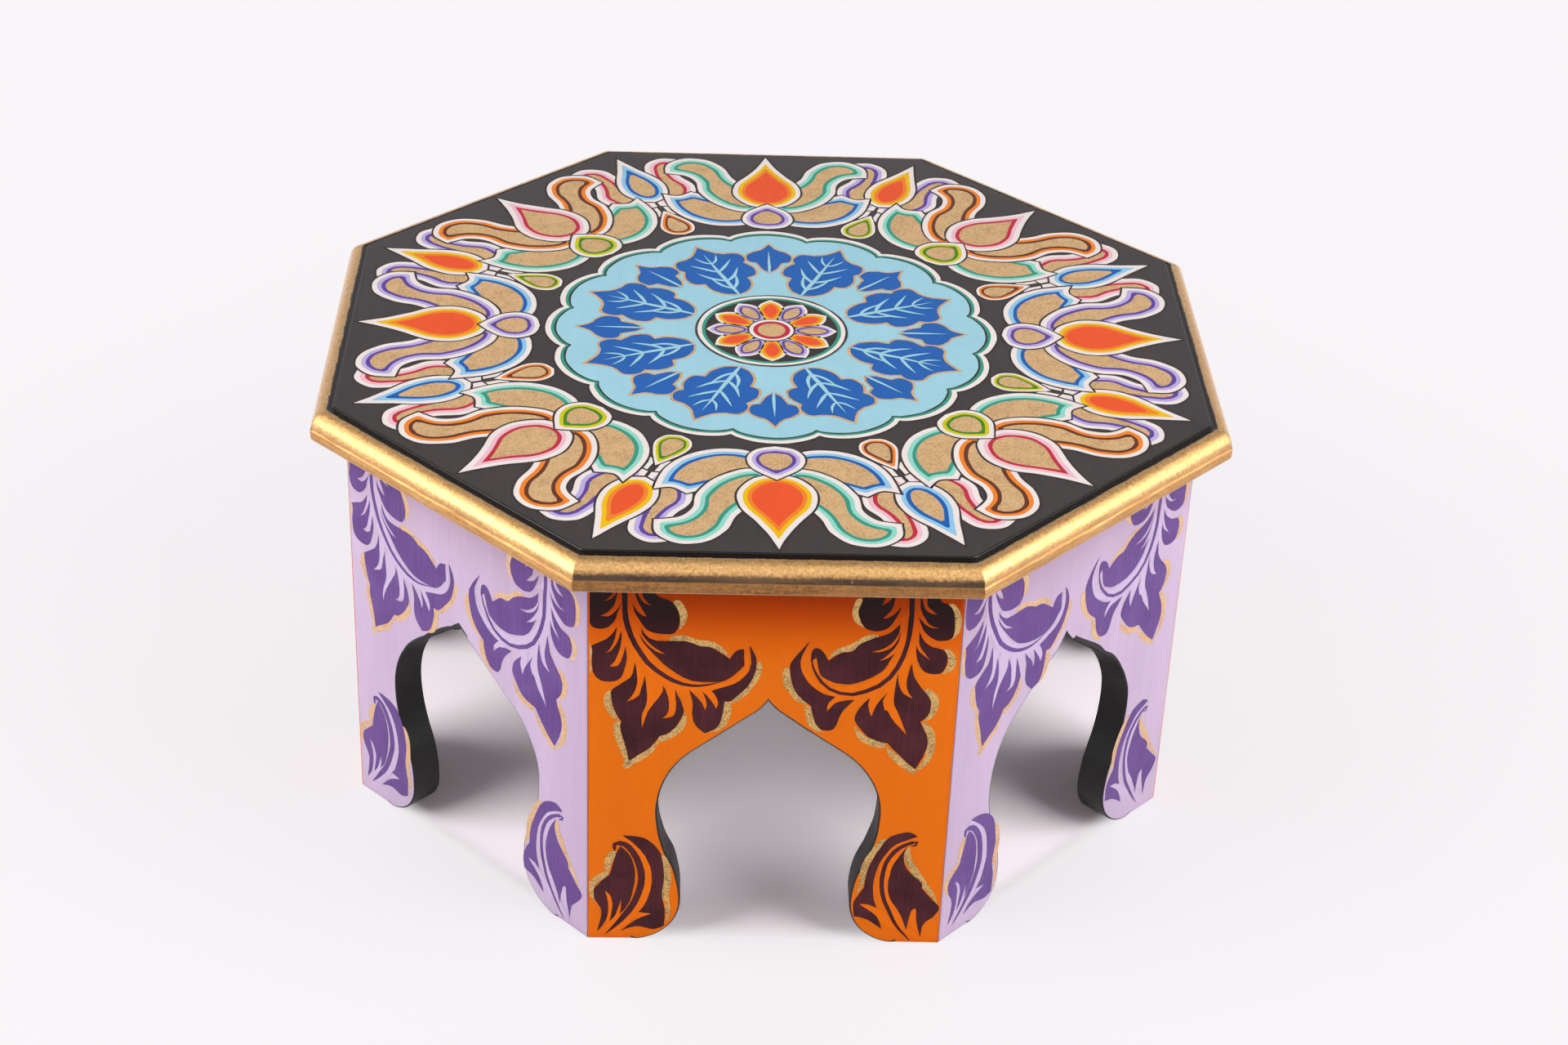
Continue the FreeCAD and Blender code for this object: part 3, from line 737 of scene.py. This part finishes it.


# Each leaf and vein paint's last number: how much shade, partly dirt, is painted under the moulding.
spray_paints = {
    "orange": (bronze_edging("bronze_on_orange", srgb(226, 184, 108), srgb(132, 96, 48), 1.0),
               leaf_gloss("maroon_leaf", srgb(58, 18, 23), srgb(88, 37, 43), 1.0, 0.1, 0.2, 2.0, 0.14,
                          1.4),
               enamel("orange_vein", srgb(253, 122, 12), 0.08, 0.44, 3.0, 0.06, 0.8), 2.0),
    "lilac": (bronze_edging("bronze_on_lilac", srgb(226, 186, 144), srgb(194, 150, 108), 4.0),
              leaf_gloss("purple_leaf", srgb(94, 60, 131), srgb(110, 78, 147), 0.25, 0.5, 0.4, 5.0,
                         0.2, 0.10),
              enamel("lilac_vein", srgb(204, 184, 216), 0.06, 0.46, 6.0, 0.30, 0.10), 1.9),
}
for ground in ("orange", "lilac"):
    edging, leaf, vein, edging_width = spray_paints[ground]
    edging_faces, leaf_marks, vein_faces = [], [], []
    for step, mirror in [(step, mirror) for step in range(8) for mirror in (False, True)]:
        if (step % 2 == 1) != (ground == "lilac"):
            continue
        seed = step * 2 + mirror + 11
        edgings, leaves, ribs = ((RIGHT_EDGING, RIGHT_LEAVES, RIGHT_RIBS) if mirror
                                 else (LEFT_EDGING, LEFT_LEAVES, LEFT_RIBS))
        for order, points in enumerate(edgings):
            place = side_painter(step, mirror, seed, (1 + order * 0.1) * paint_lift)
            edging_faces += brush_faces(points, edging_width, 0.12, place, 4.0)
        for order, (points, half_width, belly) in enumerate(VEIN_GROUND):
            place = side_painter(step, mirror, seed, (2.4 + order * 0.04) * paint_lift)
            vein_faces += brush_faces(points, half_width, belly, place)
        for order, runs in enumerate(leaves):
            place = side_painter(step, mirror, seed, (3 + order * 0.1) * paint_lift)
            leaf_marks.append([place(point) for point in
                               smooth_outline(joined(runs), spray_steps)])
        for points, half_width, belly in ribs:
            place = side_painter(step, mirror, seed, 4 * paint_lift)
            leaf_marks += brush_faces(points, half_width, belly, place, 5.0)
    painted_piece("sprays_on_" + ground, [(edging, edging_faces), (vein, vein_faces),
                                          (leaf, leaf_marks)])

# Glue blocks and cleats: sawn softwood, glued in the corners and screwed along the top.
# They were brushed with the same black as the backs, thinly, so that the grain shows.

inner_black = satin_black("inner_black", 0.55, 0.55, srgb(92, 66, 44))
for step, side in enumerate(SIDES):
    for node in ("cleat_" + side, "corner_block_" + str(step + 1)):
        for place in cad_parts[node].material_slots:
            place.material = inner_black

# Screws: countersunk steel ones, zinc plated. Each cleat is held by two driven up into the
# top board and two driven outwards into its side.


def zinc_plate():
    """Zinc plating with fine turning marks and a duller bloom."""
    material, start, place = new_material("zinc_plate")
    turning = place.stretched(1, 1, 6).grain(1500, 2.0, 0.5, 1.0)
    bloom = place.grain(260, 3.0, 0.6, 2.0)
    colour = bloom.blend(srgb(168, 170, 172), srgb(206, 204, 198))
    coat(start, {"Base Color": colour, "Metallic": 1.0,
                 "Roughness": 0.28 + bloom * 0.25,
                 "Normal": start.bump(turning, 0.03 * MM, 0.4)})
    return material


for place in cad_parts["cleat_screws"].material_slots:
    place.material = zinc_plate()

# Top board: one octagonal board with its edge moulded as a step, a fillet, a quarter round
# over a quirk, and a flat fascia. The edge is leafed in gold over ochre bole and toned with a
# brown glaze, with shade painted in on the front and in the quirk; the step and fillet are
# black, and the field is ready for the painter.

top_low, top_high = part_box("top_board")
top_edge = -top_low.y
field_level = top_high.z - 0.45 * MM
under_level = top_low.z
under_ease = 1.0 * MM
fascia_top = under_level + 6.5 * MM
quirk_depth = 0.5 * MM
quirk_height = 1.2 * MM
round_radius = 8.5 * MM
round_edge = top_edge - 0.8 * MM
fillet_level = fascia_top + quirk_height + round_radius
fillet_width = 2.5 * MM
field_edge = round_edge - round_radius - fillet_width
field_ease = 0.8 * MM
field_corner = 5.5 * MM
mitre_corner = 0.9 * MM
corner_wear = [1.0, 3.0, 1.8, 2.2, 1.4, 2.4, 3.0, 1.0]
along_steps = 96
corner_steps = 4
hand_wave = 0.22 * MM


def edge_profile():
    """Section of the edge from under the board to the field: apothem, level, corner, kind."""
    gold, black = "gold", "black"
    rows = [(top_edge - 30 * MM, under_level, mitre_corner, "under"),
            (top_edge - 1.3 * under_ease, under_level, mitre_corner, gold),
            (top_edge - 0.35 * under_ease, under_level + 0.35 * under_ease, mitre_corner, gold),
            (top_edge - 0.05 * under_ease, under_level + 1.3 * under_ease, mitre_corner, gold),
            (top_edge, under_level + 2.6 * under_ease, mitre_corner, gold),
            (top_edge, fascia_top - 1.2 * MM, mitre_corner, gold),
            (top_edge - 0.15 * MM, fascia_top - 0.3 * MM, mitre_corner, gold),
            (round_edge, fascia_top + 0.1 * MM, mitre_corner, gold),
            (round_edge - quirk_depth, fascia_top + quirk_height / 2, mitre_corner, gold)]
    centre = (round_edge - round_radius, fillet_level - round_radius)
    for step in range(15):
        turn = math.radians(-6 + 96 * step / 14)
        rows.append((centre[0] + round_radius * math.cos(turn),
                     centre[1] + round_radius * math.sin(turn),
                     mitre_corner + 0.5 * MM * step / 14, gold))
    rows[-1] = (centre[0], fillet_level, mitre_corner, black)
    rows.append((centre[0] - 0.3 * MM, fillet_level - 0.25 * MM, field_corner / 2, black))
    rows.append((field_edge + 0.35 * MM, fillet_level - 0.25 * MM, field_corner, black))
    rows.append((field_edge, fillet_level, field_corner, black))
    for step in range(5):
        turn = math.pi / 2 * step / 4
        rows.append((field_edge - field_ease * (1 - math.cos(turn)),
                     field_level - field_ease * (1 - math.sin(turn)), field_corner, black))
    return rows


def octagon_ring(apothem, corner):
    """Places round an octagon with rounded corners, with outward angles and lengths run."""
    places = []
    rounds = [corner * wear if corner < 2 * MM else corner for wear in corner_wear]
    reach = apothem * MITRE
    run = 0.0
    for step in range(8):
        facing = -math.pi / 2 + EIGHTH * step
        out = Vector((math.cos(facing), math.sin(facing)))
        along = Vector((-out.y, out.x))
        start, end = rounds[step - 1] * MITRE - reach, reach - rounds[step] * MITRE
        for share in range(along_steps + 1):
            offset = start + (end - start) * share / along_steps
            places.append((out * apothem + along * offset, facing, run + offset))
        pivot = out * (apothem - rounds[step]) + along * end
        for share in range(1, corner_steps):
            turn = facing + EIGHTH * share / corner_steps
            ray = Vector((math.cos(turn), math.sin(turn)))
            places.append((pivot + ray * rounds[step], turn, run + reach))
        run += 2 * reach
    return places


def build_top():
    """Mesh of the top board, with where each point lies along and across the edge."""
    mesh = bmesh.new()
    lie = mesh.verts.layers.float_vector.new("edge_lie")
    rows = edge_profile()
    rings = []
    down = 0.0
    for index, (apothem, level, corner, kind) in enumerate(rows):
        if index:
            down += math.dist(rows[index - 1][:2], (apothem, level))
        ring = []
        for spot, facing, run in octagon_ring(apothem, corner):
            if kind == "gold":
                side_wave = noise.noise(Vector((run * 22, down * 60, 3.1)))
                fine_wave = noise.noise(Vector((run * 160, down * 220, 8.7)))
                pull = hand_wave * (0.75 * side_wave + 0.25 * fine_wave + 0.6)
                spot = spot - Vector((math.cos(facing), math.sin(facing))) * pull * 0.6
            vert = mesh.verts.new((spot.x, spot.y, level))
            vert[lie] = (run, down, facing)
            ring.append(vert)
        rings.append(ring)
    count = len(rings[0])
    slots = {"under": 0, "gold": 1, "black": 2}
    for index in range(len(rings) - 1):
        for place in range(count):
            following = (place + 1) % count
            face = mesh.faces.new([rings[index][place], rings[index][following],
                                   rings[index + 1][following], rings[index + 1][place]])
            face.material_index = slots[rows[index][3]]
    mesh.faces.new(list(reversed(rings[0]))).material_index = 0
    mesh.faces.new(rings[-1]).material_index = 3
    return mesh


def gold_leaf():
    """Beaten metal leaf over bole: crinkles, laps, rubbed-through spots, brown glaze, painted shade and
    reflection.
    """
    material, start, place = new_material("gold_leaf")
    rows = edge_profile()[:9]
    quirk_line = sum(math.dist(one[:2], next_one[:2]) for one, next_one in zip(rows, rows[1:]))
    lie = start.node("Attribute", {"attribute_name": "edge_lie"}, {}, "Vector")
    across = lie.part("Y")
    facing = lie.part("Z")
    crinkle = place.grain(560, 5.0, 0.70, 1.0)
    fine = place.grain(2100, 3.0, 0.65, 2.0)
    streaks = lie.stretched(45, 1000, 0).grain(1.0, 4.0, 0.65, 3.0)
    hatch = lie.stretched(1300, 130, 0).grain(1.0, 3.0, 0.6, 7.0)
    cloud = lie.stretched(26, 110, 0).grain(1.0, 3.0, 0.55, 4.0)
    spots = lie.stretched(48, 150, 0).grain(1.0, 2.0, 0.5, 5.0)
    nicks = lie.stretched(260, 170, 0).grain(1.0, 2.0, 0.6, 6.0)
    wave = lie.stretched(110, 30, 0).grain(1.0, 4.0, 0.65, 11.0)
    # front: the front side, toned browner and darker than the others as painted shade, since no lamp
    # faces it.
    front = 1 - abs(facing + math.pi / 2).between(0.1, 0.6)
    above = across - quirk_line
    fascia = 1 - above.between(-0.9 * MM, -0.1 * MM)
    ragged = above + (crinkle - 0.5) * 4.0 * MM + (streaks - 0.5) * 2.0 * MM
    # groove: a dark line along the quirk, painted shade of the recess and in part dirt, strongest on the
    # front.
    groove = ragged.between(-1.5 * MM, 0.3 * MM) * (1 - ragged.between(2.6 * MM, 5.4 * MM))
    groove = groove * (front * 0.70 + cloud.between(0.40, 0.60) * 0.15 + 0.15)
    hollow = 1 - ragged.between(3.0 * MM, 8.0 * MM)
    rim = (above + (wave - 0.5) * 4.0 * MM).between(10.0 * MM, 12.4 * MM)
    # lip: a pale pinkish line along the bottom edge, a painted reflection of the floor and the lilac
    # sides.
    lip = 1 - above.between(-7.5 * MM, -6.5 * MM)
    # Glaze: brown patina on the fascia and the lower round, heavier on the front as painted shade.
    glaze = fascia * (front * 0.34 + 0.58) + (1 - fascia) * hollow * (front * 0.58 + 0.12)
    glaze = glaze + rim * 0.10 - 0.08 + (cloud - 0.5) * 0.7 + (crinkle - 0.5) * 0.8
    glaze = (glaze + (streaks - 0.5) * (fascia * 1.6 + 0.3)).between(0.0, 1.0)
    leaf = (crinkle * 0.6 + fine * 0.5).between(0.40, 0.68)
    colour = leaf.blend((0.62, 0.31, 0.090, 1.0), (1.0, 0.61, 0.25, 1.0))
    brown = (streaks * 0.55 + crinkle * 0.45).between(0.40, 0.60)
    brown = brown.blend(srgb(62, 34, 12), srgb(184, 124, 58))
    colour = glaze.blend(colour, brown)
    # The quirk's painted shade and dirt, mottled.
    soot_and_shade = (streaks * 0.5 + crinkle * 0.5).between(0.30, 0.55)
    colour = (groove * (soot_and_shade * 0.3 + 0.68)).blend(colour, srgb(44, 26, 10))
    bole = spots.between(0.72 - fascia * 0.07, 0.76 - fascia * 0.06) * crinkle.between(0.40, 0.52)
    colour = (bole * 0.85).blend(colour, srgb(206, 118, 24))
    pale = nicks.between(0.67, 0.71) * cloud.between(0.44, 0.58) * (1 - fascia)
    colour = (pale * 0.85).blend(colour, srgb(252, 234, 190))
    # Painted reflection along the lip.
    colour = (lip * 0.7).blend(colour, srgb(206, 168, 140))
    pits = place.grain(330, 1.0, 0.4, 9.0).between(0.785, 0.81)
    colour = pits.blend(colour, srgb(52, 32, 16))
    border = (above + wave * 3.6 * MM).between(15.7 * MM, 15.9 * MM)
    colour = border.blend(colour, srgb(30, 21, 17))
    dull = glaze * 0.5 + bole * 0.6 + pale * 0.5 + groove * 0.9 + pits + lip * 0.6 + border
    relief = crinkle * 0.6 + fine * 0.25 + streaks * 0.2 + hatch * 0.2 - bole * 0.3 - pits * 0.6
    rough = 0.35 + glaze * 0.16 + (fine - 0.5) * 0.3 + (crinkle - 0.5) * 0.3 + (hatch - 0.5) * 0.25
    coat(start, {"Base Color": colour,
                 "Metallic": 1 - dull.math("MINIMUM", dull, 0.97),
                 "Roughness": rough,
                 "Coat Weight": (0.5 - fascia * 0.4) * (1 - groove), "Coat Roughness": 0.25,
                 "Normal": start.bump(relief, 0.45 * MM, 0.85)})
    return material


def gloss_black():
    """Glossy black of the step and fillet, browned and dusty in the corner."""
    material, start, place = new_material("gloss_black")
    lie = start.node("Attribute", {"attribute_name": "edge_lie"}, {}, "Vector")
    drag = lie.stretched(60, 900, 0).grain(1.0, 3.0, 0.6, 1.0)
    dust = place.grain(700, 3.0, 0.6, 2.0)
    colour = drag.blend(srgb(14, 11, 10), srgb(38, 28, 22))
    colour = (dust.between(0.64, 0.72) * 0.45).blend(colour, srgb(126, 92, 62))
    coat(start, {"Base Color": colour, "Roughness": 0.18 + dust * 0.15,
                 "Specular IOR Level": 0.3, "Coat Weight": 0.1, "Coat Roughness": 0.1,
                 "Normal": start.bump(drag + dust * 0.4, 0.12 * MM, 0.5)})
    return material


field_black = enamel("field_black", srgb(72, 67, 67), 0.12, 0.34, 1.0)
top = place_mesh("moulded_top", build_top(),
                 [inner_black, gold_leaf(), gloss_black(), field_black], 50)
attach(top, "root")
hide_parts("top_board")

# Painted top: eight palmettes and eight tulips in banded colours on the black field, round a
# light blue medallion of dark blue leaves with a rosette in its middle. All of it is flat
# enamel laid by hand, light colours first, with cores of bronze powder.

top_colours = {
    "line": (62, 54, 54), "white": (248, 239, 233), "mint": (152, 226, 208),
    "teal": (58, 160, 136), "lilac": (196, 182, 234), "purple": (98, 72, 160),
    "yellow": (250, 198, 14), "orange": (252, 140, 44), "red": (246, 92, 46),
    "pink": (248, 200, 212), "crimson": (200, 48, 68), "sky": (152, 208, 240),
    "blue": (24, 100, 184), "leaf": (70, 138, 34), "lime": (214, 206, 28),
    "brown": (106, 56, 38), "water": (167, 220, 234), "navy": (38, 104, 186),
}
top_paints = {name: enamel("top_" + name, srgb(*shade), 0.07, 0.32, index * 1.7)
              for index, (name, shade) in enumerate(top_colours.items())}
top_paints["bronze"] = bronze_edging("top_bronze", srgb(230, 190, 134), srgb(188, 148, 98), 8.0, 0.06)
ways = {
    "flame": ("line", "white", "yellow", "orange", "red"),
    "ember": ("line", "white", "orange", "brown", "bronze"),
    "sea": ("line", "white", "mint", "teal", "bronze"),
    "violet": ("line", "white", "lilac", "purple", "bronze"),
    "rose": ("line", "white", "pink", "crimson", "bronze"),
    "wave": ("line", "white", "sky", "blue", "bronze"),
    "moss": ("line", "white", "lime", "leaf", "bronze"),
}
wide_bands = (-1.2, 0.0, 3.0, 5.4, 7.6)
slim_bands = (-1.1, 0.0, 2.5, 4.6, 6.5)
fine_bands = (-0.9, 0.0, 1.5, 2.9, 4.3)
band_steps = 6
top_hand = 0.3
top_lift = 0.0023 * MM


def outline_of(runs):
    """Closed outline of full runs, turned anticlockwise."""
    outline = smooth_outline(runs, band_steps)
    area = sum(first.x * second.y - second.x * first.y
               for first, second in zip(outline, outline[1:] + outline[:1]))
    return outline if area > 0 else outline[::-1]


def both_halves(runs):
    """Outline whose right half is given from its foot on the axis to its tip."""
    right = joined(runs)
    left = [[(-x, y) for x, y in reversed(run)] for run in reversed(right)]
    return outline_of(right + left)


def lobed_ring(radius, depth, lobes, count=16):
    """Outline of a ring of lobes round the middle."""
    total = lobes * count
    points = []
    for index in range(total):
        turn = 2 * math.pi * index / total
        reach = radius + depth * abs(math.cos(lobes * turn / 2)) ** 0.7
        points.append(Vector((reach * math.sin(-turn), reach * math.cos(turn))))
    return points


def from_outline(spot, outline):
    """How far a point is from an outline."""
    nearest = 1e9
    for first, second in zip(outline, outline[1:] + outline[:1]):
        along = second - first
        share = (spot - first).dot(along) / max(1e-9, along.length_squared)
        nearest = min(nearest, (spot - first - along * max(0.0, min(1.0, share))).length)
    return nearest


def inset_outline(outline, inset):
    """Outline a distance inside another, or outside it where the distance is negative."""
    made = []
    for index, point in enumerate(outline):
        into = (point - outline[index - 1]).normalized()
        out_of = (outline[(index + 1) % len(outline)] - point).normalized()
        bends = into.dot(out_of)
        headings = [(into + out_of).normalized()] if bends > 0.8 else [into, out_of]
        if bends < 0.8 and inset < 0:
            headings.insert(1, (into + out_of).normalized() * min(2.2, 1.4 / math.sqrt(1.02 + bends)))
        for heading in headings:
            spot = point + Vector((-heading.y, heading.x)) * inset
            if inset == 0 or from_outline(spot, outline) > abs(inset) - 0.02:
                made.append(spot)
    return made


class TopPainter:
    """Gathers flat marks on the field by colour, each a little above the one before."""

    def __init__(self, name, base):
        self.name = name
        self.level = field_level + base * top_lift
        self.marks = {}

    def spot(self, point, turn, mirror, hand):
        """Place on the field of a drawn point, turned about the middle from the back's axis."""
        x, y = (-point.x if mirror else point.x), point.y
        turned = Vector((x * math.cos(turn) - y * math.sin(turn),
                         x * math.sin(turn) + y * math.cos(turn)))
        turned = wavering(turned, hand, top_hand) * MM
        return Vector((turned.x, turned.y, self.level))

    def fill(self, colour, outline, turn, mirror=False, hand=0.0):
        """Fill an outline in one colour."""
        self.level += top_lift
        face = [self.spot(point, turn, mirror, hand) for point in outline]
        self.marks.setdefault(colour, []).append(face)

    def stroke(self, colour, points, half_width, belly, turn, mirror=False, hand=0.0):
        """One mark of a pointed brush."""
        self.level += top_lift
        self.marks.setdefault(colour, []).extend(brush_faces(
            points, half_width, belly, lambda point: self.spot(point, turn, mirror, hand)))

    def bands(self, shapes, turns, way_of):
        """Banded shapes round the top: each an outline, its bands' insets and its mirroring."""
        for number, (runs, insets, pair) in enumerate(shapes):
            outline = outline_of(joined(runs)) if pair else both_halves(runs)
            nested = [inset_outline(outline, inset) for inset in insets]
            start = self.level
            for index, turn in enumerate(turns):
                for mirror in ((False, True) if pair else (False,)):
                    self.level = start + (len(insets) * top_lift if mirror else 0.0)
                    for band, (colour, inner) in enumerate(zip(ways[way_of(number, index)], nested)):
                        if len(inner) > 4:
                            self.fill(colour, inner, turn, mirror, index * 3.1 + band)

    def finish(self):
        """Make the object of all the marks."""
        coats = [(top_paints[colour], faces) for colour, faces in self.marks.items()]
        painted_piece(self.name, coats)


side_turns = [EIGHTH * step for step in range(8)]
corner_turns = [EIGHTH * (step + 0.5) for step in range(8)]

TULIP = [
    ([[(2, 158), (12, 154), (24, 158), (32, 168), (35, 186)],
      [(25, 181), (14, 179), (2, 180)], [(2, 158)]], slim_bands, True),
    ([[(1, 170), (13, 168), (25, 176), (31, 190), (28, 204), (29, 216), (37, 227)],
      [(26, 233), (14, 228), (9, 214), (7, 200), (1, 188)],
      [(1, 170)]], wide_bands, True),
    ([[(0, 176), (9, 181), (14, 193), (13, 207), (7, 222), (0, 241)]], wide_bands, False),
    ([[(0, 129), (7, 132), (10, 140), (7, 150), (0, 163)]], fine_bands, False),
]
PALMETTE = [
    ([[(4, 140), (17, 133), (33, 133), (48, 141), (58, 155), (63, 174)],
      [(54, 172), (46, 178)], [(34, 172), (20, 166), (4, 164)],
      [(4, 140)]], wide_bands, True),
    ([[(3, 152), (18, 153), (32, 163), (41, 178), (43, 192), (50, 201), (62, 204)],
      [(61, 217), (50, 226), (36, 224), (26, 213), (21, 199), (13, 188), (3, 180)],
      [(3, 152)]], wide_bands, True),
    ([[(0, 157), (12, 162), (20, 175), (19, 190), (11, 204), (5, 216), (0, 230)]],
     wide_bands, False),
    ([[(0, 129), (10, 132), (15, 141), (12, 152), (0, 163)]], slim_bands, False),
]
BLUE_LEAF = [[(0, 47), (7, 50), (12, 57), (13, 65)], [(19, 67), (21, 75), (18, 83)],
             [(21, 88), (19, 95), (12, 97)], [(6, 101), (0, 110)]]
BLUE_SPRIG = [[(0, 72), (4, 76), (7, 84)], [(12, 86), (13, 93), (9, 98)],
              [(4, 101), (0, 108)]]
BLUE_VEINS = [([(0, 45), (0, 62), (0, 80), (0, 101)], 1.3, 0.3),
              ([(0, 54), (5, 61), (8, 72)], 1.0, 0.35), ([(0, 64), (7, 70), (13, 79)], 1.1, 0.35),
              ([(0, 76), (6, 82), (13, 90)], 1.0, 0.35), ([(0, 87), (4, 91), (7, 98)], 0.8, 0.35)]

border = TopPainter("painted_tulips", 1)
border.bands(TULIP, corner_turns,
             lambda shape, index: (("moss", "sea")[index % 2],
                                   ("rose", "violet")[index % 2],
                                   ("wave", "flame")[index % 2],
                                   ("ember", "moss")[index % 2])[shape])
border.finish()
palmettes = TopPainter("painted_palmettes", 22)
palmettes.bands(PALMETTE, side_turns,
                lambda shape, index: (("wave", "sea")[index % 2],
                                      ("sea", "ember", "violet", "ember")[index % 4],
                                      ("flame", "rose")[index % 2],
                                      ("violet", "moss")[index % 2])[shape])
palmettes.finish()

medallion = TopPainter("painted_medallion", 60)
for colour, shrink in (("line", -1.0), ("white", 0.0), ("teal", 3.2), ("line", 5.0), ("water", 6.2)):
    medallion.fill(colour, lobed_ring(119 - shrink, 7, 16), 0.0, False, shrink)
leaf_outline, sprig_outline = both_halves(BLUE_LEAF), both_halves(BLUE_SPRIG)
for outline, turns, edge in ((leaf_outline, corner_turns, -1.5), (sprig_outline, side_turns, -1.3)):
    for turn in turns:
        medallion.fill("bronze", inset_outline(outline, edge), turn, False, turn * 5)
    for turn in turns:
        medallion.fill("navy", outline, turn, False, turn * 3)
for turn in corner_turns:
    for points, half_width, belly in BLUE_VEINS:
        for mirror in ((False, True) if points[-1][0] else (False,)):
            medallion.stroke("water", points, half_width, belly, turn, mirror, turn * 3)
for turn in side_turns:
    medallion.stroke("water", [(0, 70), (0, 84), (0, 99)], 0.9, 0.3, turn, False, turn * 3)
for colour, radius in (("line", 42.5), ("white", 41.3), ("teal", 38.9), ("line", 37.0)):
    medallion.fill(colour, lobed_ring(radius, 0, 1, 72), 0.0, False, radius)
medallion.bands([([[(0, 10), (5, 14), (8, 23), (6, 31), (0, 36.5)]], fine_bands, False)],
                [math.pi / 6 * step for step in range(12)],
                lambda shape, index: ("flame", "violet")[index % 2])
for colour, radius in (("line", 13.5), ("white", 12.5), ("crimson", 10.4), ("bronze", 7.8)):
    medallion.fill(colour, lobed_ring(radius, 0, 1, 48), 0.0, False, radius)
medallion.finish()

# Studio: a pale floor that runs back without a corner, and a large soft lamp a little in
# front of the stool at each side, with a narrower one over it that only gloss mirrors. The
# lens and its place give the photograph's view.

camera_place = Vector((-0.05042, -1.47953, 1.03092))
camera_yaw = math.radians(2.3938)
camera_pitch = math.radians(31.477)
camera_roll = math.radians(2.3806)
lens_length = 68.708

camera_data = bpy.data.cameras.new("camera")
camera_data.sensor_fit = "HORIZONTAL"
camera_data.sensor_width = 36.0
camera_data.lens = lens_length
camera = bpy.data.objects.new("camera", camera_data)
bpy.context.scene.collection.objects.link(camera)
turn = (Matrix.Rotation(-camera_yaw, 4, "Z") @ Matrix.Rotation(math.pi / 2 - camera_pitch, 4, "X")
        @ Matrix.Rotation(camera_roll, 4, "Z"))
camera.matrix_world = Matrix.Translation(camera_place) @ turn
bpy.context.scene.camera = camera

floor_reach = 12.0
floor_mesh = bmesh.new()
bmesh.ops.create_grid(floor_mesh, x_segments=4, y_segments=4, size=floor_reach)
floor_paper, start, place = new_material("floor_paper")
tone = place.grain(6, 2.0, 0.5, 1.0).blend(srgb(248, 244, 246), srgb(250, 246, 248))
paper = start.node("BsdfPrincipled", {}, {"Base Color": tone, "Roughness": 0.85,
                                          "Specular IOR Level": 0.2})
clear = start.node("Emission", {}, {"Color": srgb(249, 246, 249), "Strength": 1.0})
seen = (start.node("LightPath", {}, {}, "Is Camera Ray")
        + start.node("LightPath", {}, {}, "Is Glossy Ray"))
sideways_x = abs(place.part("X"))
sideways_y = abs(place.part("Y"))
apothem = sideways_x.math("MAXIMUM", sideways_x, sideways_y)
apothem = apothem.math("MAXIMUM", apothem, (sideways_x + sideways_y) * math.sqrt(0.5))
outside = apothem.between(board_face - 15 * MM, board_face)
# Under the stool the paper is seen as a camera set for the paints would see it, brighter, and
# pink: light bounced from the painted sides, painted in.
bright_paper = start.node("BsdfDiffuse", {}, {"Color": (0.97, 0.85, 0.92, 1.0)})
lifted = start.node("MixShader", {}, {0: seen * (1 - outside) * 0.76, 2: bright_paper})
lit = start.node("AddShader", {}, {0: paper, 1: lifted})
mixed = start.node("MixShader", {}, {0: seen * (outside * 0.78 + apothem.between(0.26, 0.8) * 0.22),
                                     1: lit, 2: clear})
from_below = start.node("NewGeometry", {}, {}, "Backfacing")
floor_look = start.node("MixShader", {}, {0: from_below, 1: mixed,
                                          2: start.node("BsdfTransparent")})
start.node("OutputMaterial", {}, {"Surface": floor_look})
floor = place_mesh("floor", floor_mesh, [floor_paper])


def soft_lamp(name, place, wide, tall, power, mirrored):
    """Soft box that faces the stool: its gloss mirrors it, or its paint is lit by it."""
    data = bpy.data.lights.new(name, "AREA")
    data.shape = "RECTANGLE"
    data.size = wide
    data.size_y = tall
    data.energy = power
    lamp = bpy.data.objects.new(name, data)
    bpy.context.scene.collection.objects.link(lamp)
    lamp.location = place
    lamp.rotation_mode = "QUATERNION"
    lamp.rotation_quaternion = (Vector((0, 0, 0.1)) - Vector(place)).to_track_quat("-Z", "Y")
    lamp.visible_glossy = mirrored
    lamp.visible_diffuse = not mirrored


soft_lamp("left_lamp", (-1.97, -0.56, 1.16), 1.86, 2.3, 48.0, False)
soft_lamp("right_lamp", (1.88, -0.72, 1.22), 1.84, 2.3, 48.0, False)
soft_lamp("left_gleam", (-1.97, -0.70, 1.16), 1.10, 2.3, 45.0, True)
soft_lamp("right_gleam", (1.88, -0.80, 1.22), 1.25, 2.3, 50.0, True)

world = bpy.data.worlds.new("studio_air")
world.use_nodes = True
world.node_tree.nodes.clear()
air = Shade(world.node_tree)
heading = air.node("TexCoord", {}, {}, "Generated")
upward = heading.part("Z")
forward = heading.part("Y")
mirrored = air.node("LightPath", {}, {}, "Is Glossy Ray")
walls = upward.node("ValToRGB", {"stops": [(0.0, (0.71, 0.71, 0.72, 1.0)),
                                           (0.35, (0.64, 0.64, 0.65, 1.0)),
                                           (0.75, (0.32, 0.32, 0.33, 1.0))]}, {0: upward})
walls = forward.between(0.15, -0.45).blend(walls, (0.80, 0.80, 0.81, 1.0))
lit_wall = forward.between(0.1, 0.5) * upward.between(0.3, 0.6)
glow = lit_wall.blend((0.122, 0.092, 0.104, 1.0), (0.72, 0.68, 0.70, 1.0))
glow = mirrored.blend(glow, walls)
glow = air.node("LightPath", {}, {}, "Is Camera Ray").blend(glow, srgb(249, 246, 249))
background = air.node("Background", {}, {"Color": glow, "Strength": 1.0})
air.node("OutputWorld", {}, {"Surface": background})
bpy.context.scene.world = world
bpy.context.scene.view_settings.view_transform = "Standard"
